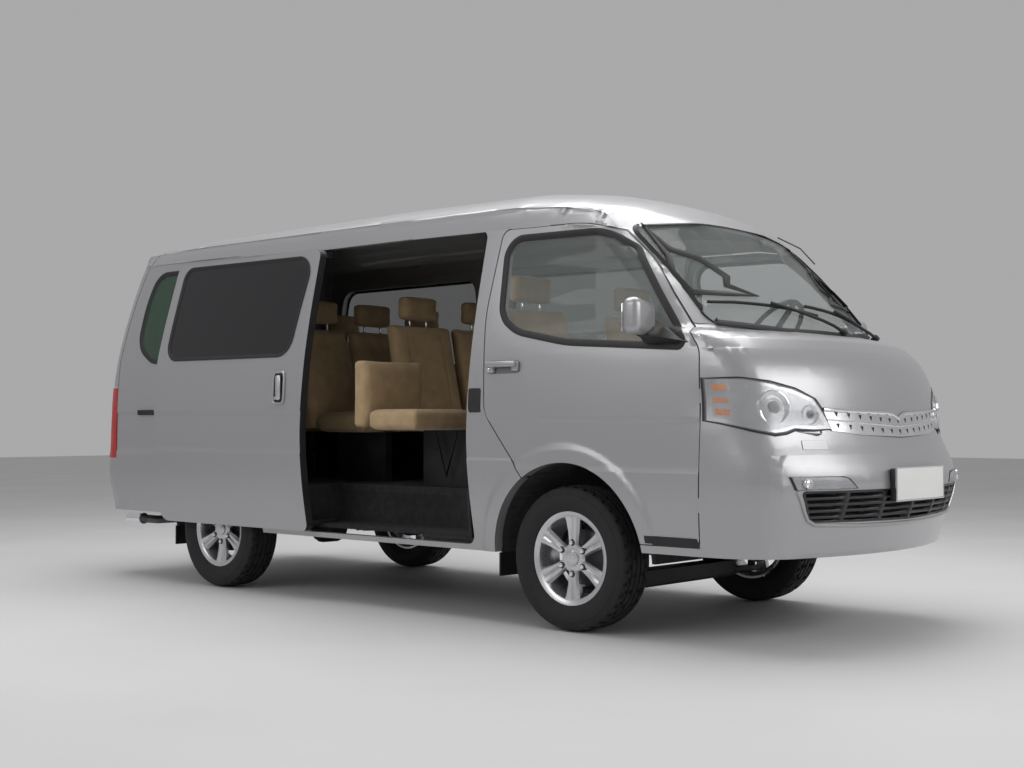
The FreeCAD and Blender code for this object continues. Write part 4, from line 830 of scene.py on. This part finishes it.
def alloy_spoke(turn):
    """One broad spoke with a shallow channel down its face."""
    rows = []
    spin = math.tau * turn / SPOKES
    for radius, width, face in ((0.03, 0.046, 0.06), (0.07, 0.05, 0.062),
                                (0.12, 0.062, 0.063), (0.165, 0.078, 0.069),
                                (0.189, 0.094, 0.074)):
        half = width / 2
        section = ((-half, face - 0.014), (-half * 0.72, face), (-half * 0.26, face),
                   (0.0, face - 0.007), (half * 0.26, face), (half * 0.72, face),
                   (half, face - 0.014), (half * 0.85, face - 0.034), (-half * 0.85, face - 0.034))
        rows.append([Vector((x, t * math.cos(spin) - radius * math.sin(spin),
                             t * math.sin(spin) + radius * math.cos(spin))) for t, x in section])
    return loft("spoke", rows)


def alloy_wheel():
    parts = [spun("rim", [(0.08, 0.206), (0.081, 0.2095), (0.0785, 0.21), (0.076, 0.202),
                          (0.07, 0.19), (0.05, 0.183), (-0.055, 0.178), (-0.076, 0.2),
                          (-0.079, 0.208), (-0.081, 0.207), (-0.079, 0.196),
                          (-0.056, 0.173), (0.048, 0.177), (0.072, 0.185), (0.077, 0.193),
                          (0.08, 0.206)], CENTRE, OUTWARDS, 72),
             spun("hub", [(0.036, 0.0), (0.036, 0.062), (0.052, 0.066), (0.059, 0.061),
                          (0.061, 0.048), (0.061, 0.0)], CENTRE, OUTWARDS, 48),
             spun("cap", [(0.06, 0.036), (0.068, 0.0355), (0.0705, 0.033), (0.0712, 0.026),
                          (0.073, 0.024), (0.0745, 0.0)], CENTRE, OUTWARDS, 40)]
    parts += [alloy_spoke(turn) for turn in range(SPOKES)]
    return together("alloy_wheel", parts)


def wheel_nuts():
    """The nuts, and round each a black ring painted as the shade of its hollow, on a circle of
    radius 69.8 mm.
    """
    nuts, well_shades = [], []
    for turn in range(SPOKES):
        spin = math.tau * turn / SPOKES
        place = Vector((0.0, -math.sin(spin), math.cos(spin))) * 0.0698
        start, rim, top = (place + Vector((x, 0, 0)) for x in (0.056, 0.0635, 0.0745))
        # Black rings under the nuts: painted shade for the hollows they sit in.
        well_shades.append(rod("well_shade", start, rim, 0.0155, 20, 0.1))
        nuts.append(rod("nut", start, top, 0.0105, 6, 0.3))
    return together("wheel_nuts", nuts), together("nut_wells", well_shades)


def road_tyre():
    """Tyre with rounded walls, four grooves round it and cross cuts in its tread.

    Its half section is mirrored, and of every few sectors one is pressed in."""
    half = [(0.077, 0.2105), (0.085, 0.2135), (0.088, 0.22), (0.0965, 0.236),
            (0.101, 0.254), (0.102, 0.27), (0.1005, 0.285), (0.0985, 0.2865),
            (0.096, 0.296), (0.092, 0.308), (0.086, 0.3165), (0.078, 0.32),
            (0.064, 0.3228), (0.052, 0.3238), (0.0505, 0.316), (0.043, 0.316),
            (0.0415, 0.3243), (0.02, 0.3249), (0.0185, 0.3165), (0.0105, 0.3165),
            (0.009, 0.325)]
    profile = half + [(-a, r) for a, r in reversed(half)]
    tyre = spun("tyre", profile, CENTRE, OUTWARDS, TREAD_CUTS)
    sector = math.tau / TREAD_CUTS

    def cut_here(middle, normal):
        radius = math.hypot(middle.y, middle.z)
        index = int((math.atan2(middle.y, middle.z) + math.pi) / sector)
        reach = abs(middle.x)
        if radius < 0.3135 or abs(normal.x) > 0.85:
            return False
        if 0.064 < reach < 0.09:
            return index % 3 == 0
        if 0.0415 < reach < 0.064 and radius > 0.32:
            return index % 3 == 1
        return 0.02 <= reach < 0.042 and radius > 0.32 and index % 4 == 0

    faces_where(tyre, cut_here)
    bpy.ops.mesh.extrude_region_shrink_fatten(TRANSFORM_OT_shrink_fatten={"value": -0.006})
    leave_all()
    return tyre


def fit_wheels():
    made = [(alloy_wheel(), ALLOY, "rim_", "alloy"), (road_tyre(), TYRE, "tyre_", "tyre_rubber")]
    nuts, well_shades = wheel_nuts()
    # The black rings round the nuts are painted shade.
    made += [(nuts, CHROME, None, None), (well_shades, MOULD, None, None)]
    for piece, finish, stands_for, slot_name in made:
        for end, axle in (("front", AXLES[0]), ("rear", AXLES[1])):
            for hand, way in (("right", -1), ("left", 1)):
                twin = placed("%s_%s_%s" % (piece.name, end, hand), piece.data.copy())
                for vertex in twin.data.vertices:
                    vertex.co = Vector((vertex.co.x * way + HALF_TRACK * way, vertex.co.y + axle,
                                        vertex.co.z + HUB_Z))
                if way < 0:
                    turned(twin)
                done(twin, finish, "wheel_%s_%s" % (end, hand), 32)
                if stands_for:
                    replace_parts(twin, "%s%s_%s" % (stands_for, end, hand))
        bpy.data.objects.remove(piece)


fit_wheels()


# Seats

VOXEL = 0.01
FRAMES = 20


def swollen(piece, cap):
    """Cloth simulation: the cover swells as if stuffed, by no more than the cap."""
    modified(piece, "REMESH", mode="VOXEL", voxel_size=VOXEL)
    pick(piece)
    start = [v.co.copy() for v in piece.data.vertices]
    cloth = piece.modifiers.new("cloth", "CLOTH")
    cloth.settings.quality = 3
    cloth.settings.use_pressure = True
    cloth.settings.uniform_pressure_force = 4.0
    cloth.settings.effector_weights.gravity = 0
    cloth.collision_settings.use_collision = False
    cloth.point_cache.frame_start = 1
    cloth.point_cache.frame_end = FRAMES
    for number in range(1, FRAMES + 1):
        bpy.context.scene.frame_set(number)
    bpy.ops.object.modifier_apply(modifier="cloth")
    for vertex, old in zip(piece.data.vertices, start):
        move = vertex.co - old
        if move.length > cap:
            vertex.co = old + move * (cap / move.length)
    bpy.context.scene.frame_set(1)
    leave_all()
    return piece


def stuffed(name, section, half, bevel, cap):
    """A swollen block from a side section (y, z), from -half to half, with round edges."""
    rows = [[Vector((x, y, z)) for y, z in section] for x in (-half, half)]
    piece = loft(name, rows)
    modified(piece, "BEVEL", width=bevel, segments=3)
    return swollen(piece, cap)


SEAM_DEEP, SEAM_WIDE = 0.004, 0.012


def sewn(piece, lines):
    """Presses sewn channels: each line is (axis, place) across the padded face."""
    for vertex in piece.data.vertices:
        for axis, place in lines:
            gap = abs(vertex.co[axis] - place)
            if gap < SEAM_WIDE:
                vertex.co -= vertex.normal * SEAM_DEEP * (1 - gap / SEAM_WIDE) ** 2


def seat_forms(width):
    """Cushion, back and headrest of one seat: y from its front, z from its underside."""
    half = width / 2 - 0.012
    seams = [(0, -half * 0.56), (0, half * 0.56)]
    cushion = stuffed("cushion", [(0.012, 0.012), (0.012, 0.112), (0.428, 0.1),
                                  (0.428, 0.012)], half, 0.022, 0.011)
    sewn(cushion, seams + [(1, 0.385)])
    back = stuffed("back", [(0.452, 0.012), (0.548, 0.012), (0.658, 0.612),
                            (0.592, 0.612)], half, 0.024, 0.011)
    sewn(back, seams)
    rest = stuffed("headrest", [(0.592, 0.64), (0.664, 0.64), (0.664, 0.768),
                                (0.592, 0.768)], 0.1315, 0.022, 0.01)
    return [cushion, back, rest]


def folding_forms():
    """Cushion and back of the folding seat, in place but for x."""
    cushion = stuffed("cushion", [(-0.228, 0.902), (-0.228, 0.988), (0.128, 0.988),
                                  (0.128, 0.902)], 0.222, 0.02, 0.011)
    back = stuffed("back", [(0.152, 0.902), (0.236, 0.902), (0.236, 1.258),
                            (0.152, 1.258)], 0.222, 0.02, 0.01)
    return [cushion, back]


def fit_seats():
    """Four rows of seats, each from its width, front edge, foot and middles, and the folding one.

    The first pad of a CAD node stands for the node."""
    count = 0
    stands_for = set()
    for node, width, front, foot, middles in (
            ("front_seats", 0.5, -1.3, 0.885, (-0.415, 0.415)),
            ("passenger_seats", 0.5, -0.11, 0.875, (-0.04, 0.47)),
            ("passenger_seats", 0.415, 0.49, 0.875, (-0.2695, 0.1555, 0.5805)),
            ("passenger_seats", 0.378, 1.25, 0.875, (-0.585, -0.195, 0.195, 0.585))):
        forms = seat_forms(width)
        for middle in middles:
            count += 1
            for form in forms:
                fit_pad(form, "seat_%d_%s" % (count, form.name.split(".")[0]),
                        Vector((middle, front, foot)), node, stands_for)
            for side in (-0.065, 0.065):
                start = Vector((middle + side, front + 0.625, foot + 0.6))
                done(rod("seat_%d_post_%d" % (count, side > 0), start,
                         start + Vector((0, 0.004, 0.05)), 0.0065, 16, 0.1), CHROME)
        for form in forms:
            bpy.data.objects.remove(form)
    for form in folding_forms():
        fit_pad(form, "folding_seat_" + form.name.split(".")[0], Vector((-0.565, 0, 0)),
                "passenger_seats", stands_for)
        bpy.data.objects.remove(form)


def fit_pad(form, name, place, node, stands_for):
    twin = placed(name, form.data.copy())
    for vertex in twin.data.vertices:
        vertex.co += place
    done(twin, CLOTH, smooth=60)
    if node not in stands_for:
        stands_for.add(node)
        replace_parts(twin, node)


fit_seats()


# Lamps, grilles and plate

HEADLAMP = [(-0.858, -1.992, 1.113), (-0.856, -2.015, 1.112), (-0.816, -2.152, 1.114),
            (-0.726, -2.237, 1.098), (-0.62, -2.29, 1.07), (-0.533, -2.331, 1.03),
            (-0.5, -2.345, 0.985), (-0.456, -2.372, 0.903), (-0.553, -2.342, 0.899),
            (-0.644, -2.308, 0.902), (-0.69, -2.29, 0.886), (-0.735, -2.265, 0.88),
            (-0.802, -2.2, 0.898), (-0.847, -2.1, 0.922), (-0.861, -2.003, 0.938)]
LAMP_WAY = (-0.72, -0.69, 0.05)
AHEAD, RIGHT = (0, -1, 0), (-1, 0, 0)


def grown(outline, reach):
    """An outline with its corners moved away from its middle."""
    middle = sum((Vector(p) for p in outline), Vector()) / len(outline)
    return [Vector(p) + (Vector(p) - middle).normalized() * reach for p in outline]


def headlamps():
    """Rubber edge, silver reflector, two bowls, three indicator bars and a domed lens."""
    both_sides(laid("surround", grown(HEADLAMP, 0.006), LAMP_WAY, 0.0025, 0.004),
               "headlamp_surround", BLACK)
    both_sides(laid("reflector", grown(HEADLAMP, -0.01), LAMP_WAY, 0.0036, 0.001),
               "headlamp_reflector", LAMP_SILVER)
    for name, place, normal, radius in (
            ("main", (-0.726, -2.25, 0.992), (-0.56, -0.82, 0.06), 0.066),
            ("inner", (-0.57, -2.324, 0.962), (-0.42, -0.9, 0.08), 0.04)):
        centre = Vector(place)
        bowl = spun("bowl", [(0.0, radius * 1.1), (0.01, radius * 1.04), (0.011, radius),
                             (0.005, radius * 0.8), (0.002, radius * 0.62),
                             (0.007, radius * 0.58), (0.007, radius * 0.5),
                             (0.003, radius * 0.46)], centre, normal, 48)
        both_sides(bowl, "headlamp_bowl_" + name, CHROME)
        eye = spun("eye", [(0.001, radius * 0.48), (0.009, radius * 0.4), (0.013, radius * 0.22),
                           (0.014, 0.0)], centre, normal, 32)
        both_sides(eye, "headlamp_eye_" + name, DARK_GLASS)
    for index, (y, z) in enumerate(((-2.07, 1.075), (-2.077, 1.022), (-2.086, 0.974))):
        bar = rounded([(-0.85, y + 0.033, z + 0.012), (-0.85, y - 0.033, z + 0.01),
                       (-0.85, y - 0.036, z - 0.012), (-0.85, y + 0.03, z - 0.01)], 0.1, 2)
        both_sides(laid("bar", bar, (-0.97, -0.24, 0), 0.008, 0.002, 0.02),
                   "indicator_bar_%d" % index, AMBER)
    both_sides(laid("lens", grown(HEADLAMP, -0.003), LAMP_WAY, 0.005, 0.0, 0.025, dome=0.012),
               "headlamp_lens", LENS)


FOG = [(-0.742, -2.341, 0.713), (-0.501, -2.44, 0.711), (-0.468, -2.451, 0.703),
       (-0.423, -2.463, 0.662), (-0.722, -2.356, 0.66)]
FOG_WAY = (-0.4, -0.91, 0.0)


def fog_lamps():
    """Rubber edge, silver dish, bulb and lens, laid on the bumper."""
    both_sides(laid("surround", grown(FOG, 0.006), FOG_WAY, 0.002, 0.004), "fog_surround", BLACK)
    both_sides(laid("dish", grown(FOG, -0.006), FOG_WAY, 0.003, 0.001), "fog_dish", LAMP_SILVER)
    ring = spun("ring", [(0.001, 0.024), (0.008, 0.023), (0.008, 0.019), (0.003, 0.013),
                         (0.006, 0.008), (0.007, 0.0)], (-0.678, -2.38, 0.687),
                (-0.42, -0.89, 0.1), 32)
    both_sides(ring, "fog_bulb", CHROME)
    both_sides(laid("lens", grown(FOG, -0.004), FOG_WAY, 0.006, 0.0, dome=0.005, hem=0.02),
               "fog_lens", LENS)


def front_line(points, away, rise, count):
    """Points along a broken line, each laid on the bodywork."""
    line = []
    for a, b in zip(points, points[1:]):
        for k in range(count):
            spot = Vector(a).lerp(Vector(b), k / count)
            line.append(on_skin(spot, away) + Vector(away).normalized() * rise)
    line.append(on_skin(points[-1], away) + Vector(away).normalized() * rise)
    return line


def mirrored_line(points):
    """A line given from the right-hand end to the middle, carried on to the left."""
    return list(points) + [(-x, y, z) for x, y, z in reversed(points[:-1])]


HOLES, HOLE_X = 13, 0.43


def grilles():
    """The plate with its edge and dark triangles painted as shade where its holes are, and the
    chrome and painted lines.
    """
    top = [(-0.503, -2.35, 0.993), (-0.3, -2.4, 0.984), (-0.1, -2.42, 0.979),
           (-0.055, -2.42, 0.975), (0.0, -2.42, 0.955)]
    foot = [(-0.47, -2.37, 0.897), (-0.3, -2.4, 0.879), (0.0, -2.44, 0.869)]
    outline = mirrored_line(top) + list(reversed(mirrored_line(foot)))
    done(laid("grille_edge", grown(outline, 0.004), AHEAD, 0.001, 0.004, 0.04), BLACK)
    plate = laid("grille_plate", outline, AHEAD, 0.004, 0.004)
    plate.name = "chrome_grille_plate"
    done(plate, GRILLE_CHROME, "root", 30)
    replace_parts(plate, "chrome_grille")
    middle = [(-0.487, -2.36, 0.943), (-0.3, -2.4, 0.93), (0.0, -2.42, 0.914)]
    for name, points, rise, radius in (
            ("grille_top_bar", [(x, y, z - 0.008) for x, y, z in top], 0.006, 0.0085),
            ("grille_ridge", middle, 0.004, 0.0035)):
        done(pipe(name, front_line(mirrored_line(points), AHEAD, rise, 6), radius), CHROME,
             "root")
    holes = []
    # No holes are cut: the black triangles are painted shade for the dark seen through them.
    for near, far in ((0.938, 0.966), (0.892, 0.918)):
        for k in range(HOLES):
            x = -HOLE_X + 2 * HOLE_X * k / (HOLES - 1)
            z = near + (far - near) * (abs(x) / HOLE_X) ** 1.4
            tri = [(x - 0.0105, -2.4, z + 0.009), (x + 0.0105, -2.4, z + 0.009),
                   (x, -2.4, z - 0.012)]
            holes.append(laid("hole_shadow", rounded(tri, 0.15, 2), AHEAD, 0.0046, 0.001))
    done(together("grille_holes", holes), BLACK)
    lip = [(-0.715, -2.36, 0.655), (-0.69, -2.36, 0.61), (-0.668, -2.361, 0.572),
           (-0.64, -2.361, 0.535), (-0.6, -2.37, 0.516), (-0.355, -2.437, 0.506),
           (0.0, -2.49, 0.503)]
    done(pipe("lower_grille_lip", front_line(mirrored_line(lip), AHEAD, 0.001, 5), 0.008),
         PAINT, "root")


def number_plate():
    """A blank plate on its holder, in a thin frame."""
    done(block("plate_back", (-0.215, -2.528, 0.606), (0.215, -2.5, 0.738), 0.004), MOULD)
    done(block("plate_blank", (-0.216, -2.5335, 0.606), (0.216, -2.5285, 0.738), 0.0015), PLATE)
    rim = pipe("plate_frame", [(-0.219, -2.532, 0.603), (0.219, -2.532, 0.603),
                               (0.219, -2.532, 0.741), (-0.219, -2.532, 0.741)], 0.0045, 2, True)
    done(rim, CHROME)


COVER_WAY = (-0.3, -0.93, 0.2)


def small_pieces():
    """Cover on the bumper, sill strips and the tailgate's grip."""
    cover = [(-0.637, -2.327, 0.857), (-0.515, -2.371, 0.857), (-0.522, -2.388, 0.82),
             (-0.647, -2.341, 0.821)]
    done(laid("tow_cover", cover, COVER_WAY, 0.0015, 0.002), PAINT, "root", 20)
    done(laid("tow_cover_seam", grown(cover, 0.0025), COVER_WAY, 0.0004, 0.002), BLACK)
    strip = upright(-0.84, -1.7, 0.452, -1.972, 0.412)
    both_sides(laid("strip", strip, RIGHT, 0.004, 0.004), "sill_strip", BLACK)
    grip = block("tailgate_grip", (-0.3, 2.49, 0.965), (0.3, 2.523, 1.005), 0.008, 3)
    done(grip, CHROME, "tailgate")


headlamps()
fog_lamps()
grilles()
number_plate()
small_pieces()


# Handles, mirrors and wipers

DOOR = "front_door_right"


def front_handles():
    """A recess, a flat plate in dark paint as painted shade, with a lever on two feet, and the
    lock.
    """
    recess = rounded(upright(-0.86, -0.79, 1.217, -0.992, 1.157), 0.2, 4)
    # The recess is not sunk: the dark paint on it is painted shade.
    both_sides(laid("recess", recess, RIGHT, 0.001, 0.002), "handle_recess", RECESS_SHADE_PAINT, DOOR)
    for name, low, high, bevel in (
            ("lever", (-0.888, -0.986, 1.186), (-0.866, -0.796, 1.214), 0.009),
            ("foot", (-0.872, -0.99, 1.166), (-0.85, -0.95, 1.212), 0.008),
            ("heel", (-0.876, -0.842, 1.16), (-0.85, -0.792, 1.214), 0.01)):
        both_sides(block(name, low, high, bevel, 3), "handle_" + name, PAINT, DOOR)
    lock = rod("lock", (-0.872, -0.815, 1.176), (-0.8785, -0.815, 1.176), 0.009, 20, 0.1)
    both_sides(lock, "handle_lock", CHROME, DOOR)


def slider_handle():
    """The sliding door's recess, a flat black plate as painted shade, with its rim, lever and
    lock.
    """
    outline = rounded([(-0.92, 0.612, 1.032), (-0.92, 0.612, 1.198), (-0.92, 0.7, 1.198),
                       (-0.92, 0.7, 1.032)], 0.22, 4)
    # A black plate instead of a hollow: painted shade inside the handle's recess.
    done(laid("slider_recess", outline, RIGHT, 0.002, 0.002), BLACK)
    rim = [on_skin(p, RIGHT) + Vector((-0.004, 0, 0)) for p in outline]
    done(pipe("slider_handle_rim", rim, 0.007, 3, True), PAINT, "root")
    done(block("slider_lever", (-0.95, 0.634, 1.05), (-0.929, 0.668, 1.182), 0.009, 3), ALLOY)
    done(rod("slider_lock", (-0.925, 0.686, 1.06), (-0.936, 0.686, 1.06), 0.008, 20, 0.1),
         CHROME)


def pillar_patch():
    outline = rounded([(-0.86, -0.674, 0.978), (-0.86, -0.674, 1.092), (-0.86, -0.7515, 1.092),
                       (-0.86, -0.7515, 0.978)], 0.12, 3)
    done(laid("pillar_patch", outline, RIGHT, 0.0025, 0.002), MOULD)


def door_mirrors():
    """Shells with a sloping top, their glasses and the feet on the doors."""
    shell = block("shell", (-1.0, -1.77, 1.299), (-0.834, -1.682, 1.458), 0.036, 6)
    for vertex in shell.data.vertices:
        inner = (vertex.co.x + 1.0) / 0.166
        if vertex.co.z > 1.38:
            vertex.co.z -= 0.03 * inner * inner
        if vertex.co.y < -1.72:
            vertex.co.y += 0.012 * inner
    both_sides(shell, "mirror_shell", PAINT, DOOR)
    for hand in ("right", "left"):
        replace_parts(bpy.data.objects["mirror_shell_" + hand], "mirror_" + hand)
    face = block("face", (-0.988, -1.686, 1.312), (-0.852, -1.679, 1.432), 0.003, 2)
    both_sides(face, "mirror_face", MIRROR, DOOR)
    rows = []
    for x, y0, y1, z0, z1 in ((-0.842, -1.93, -1.72, 1.262, 1.318),
                              (-0.858, -1.905, -1.7, 1.27, 1.33),
                              (-0.88, -1.8, -1.7, 1.29, 1.335),
                              (-0.905, -1.765, -1.7, 1.297, 1.332)):
        rows.append([Vector((x, y0, z0)), Vector((x, y1, z0)), Vector((x, y1, z1)),
                     Vector((x, (y0 + y1) / 2, z1))])
    both_sides(loft("foot", rows), "mirror_foot", MOULD, DOOR, smooth=50)


def wipers():
    """Two wipers on the windscreen: rubber, blade, arm and pivot."""
    away = Vector((-0.05, -0.76, 0.64))
    for name, tip, heel, pivot, joint in (
            ("right", (-0.64, -1.87, 1.44), (0.02, -2.0, 1.392), (0.15, -2.09, 1.345),
             (-0.3, -1.95, 1.428)),
            ("left", (-0.03, -1.98, 1.45), (0.52, -1.95, 1.38), (0.6, -2.02, 1.345),
             (0.22, -1.98, 1.428))):
        blade = front_line([tip, heel], away, 0.014, 10)
        done(pipe("wiper_rubber_" + name, [p - away * 0.007 for p in blade], 0.004, 2), BLACK)
        done(pipe("wiper_blade_" + name, blade, 0.0055, 2), MOULD)
        arm = front_line([pivot, joint], away, 0.026, 6)
        arm[0] = arm[0] - away * 0.008
        done(pipe("wiper_arm_" + name, arm, 0.0075, 3), MOULD)
        start = on_skin(pivot, away)
        done(rod("wiper_pivot_" + name, start - away * 0.004, start + away * 0.03, 0.017, 20,
                 0.25), MOULD)


def aerial_and_exhaust():
    done(pipe("aerial", [(0.705, -1.62, 1.74), (0.735, -1.52, 1.83), (0.745, -1.38, 1.9)],
              0.004, 2), MOULD)
    tip = spun("exhaust_tip", [(0.0, 0.0322), (0.0, 0.0345), (0.14, 0.035), (0.149, 0.0345),
                               (0.149, 0.0305), (0.135, 0.0285), (0.06, 0.0282)],
               (-0.64, 2.347, 0.332), (0, 1, 0), 40)
    done(tip, CHROME)


front_handles()
slider_handle()
pillar_patch()
door_mirrors()
wipers()
aerial_and_exhaust()


# Stage, light and camera

PHOTO_WIDTH, SENSOR = 1024, 36.0
FOCAL_PIXELS = 1416.46
CAMERA_AT, CAMERA_YAW, CAMERA_PITCH = (-5.69, -5.305, 0.932), 0.837, 0.02702
LIGHTS = (("top_light", (0.5, 0.5, 6.0), (0, 0, 0), (7, 5), 330),
          ("front_light", (0.5, -8.0, 3.8), (0, -1, 0.9), (6, 3), 200),
          ("side_light", (-8.0, 1.0, 4.5), (0, 0, 1.0), (7, 3), 130))


def stage_and_camera():
    """A grey floor and background, three area lights and the photo's camera."""
    leave_all()
    bpy.ops.mesh.primitive_plane_add(size=60, location=(0, 0, -0.001))
    floor = bpy.context.object
    floor.name = "studio_floor"
    finish, shader = new_finish("studio_floor", (0.62, 0.62, 0.62), 0.6)
    soft = noise_on(finish, 0.8, 2.0)
    vary_colour(finish, shader, soft, (0.6, 0.6, 0.6), (0.64, 0.64, 0.64))
    floor.data.materials.append(finish)
    world = bpy.data.worlds.new("studio")
    bpy.context.scene.world = world
    world.use_nodes = True
    nodes = world.node_tree.nodes
    lit = nodes["Background"]
    lit.inputs["Color"].default_value = (0.62, 0.62, 0.63, 1)
    lit.inputs["Strength"].default_value = 0.62
    seen = add_node(world, "ShaderNodeBackground", Color=(0.4, 0.4, 0.405, 1))
    rays = add_node(world, "ShaderNodeLightPath")
    either = add_node(world, "ShaderNodeMixShader")
    join(world, rays.outputs["Is Camera Ray"], either.inputs["Fac"])
    join(world, lit.outputs["Background"], either.inputs[1])
    join(world, seen.outputs["Background"], either.inputs[2])
    join(world, either.outputs["Shader"], nodes["World Output"].inputs["Surface"])
    for name, place, aim, size, power in LIGHTS:
        lamp = bpy.data.lights.new(name, "AREA")
        lamp.shape = "RECTANGLE"
        lamp.size, lamp.size_y = size
        lamp.energy = power
        holder = placed(name, lamp)
        holder.location = place
        holder.rotation_euler = (Vector(aim) - Vector(place)).to_track_quat("-Z", "Y").to_euler()
    camera = bpy.data.cameras.new("photo_view")
    camera.sensor_width = SENSOR
    camera.lens = FOCAL_PIXELS / PHOTO_WIDTH * SENSOR
    eye = placed("photo_view", camera)
    eye.location = CAMERA_AT
    level = math.cos(CAMERA_PITCH)
    look = Vector((math.sin(CAMERA_YAW) * level, math.cos(CAMERA_YAW) * level,
                   math.sin(CAMERA_PITCH)))
    eye.rotation_euler = look.to_track_quat("-Z", "Y").to_euler()
    bpy.context.scene.camera = eye
    bpy.context.scene.view_settings.view_transform = "Standard"


stage_and_camera()
leave_all()
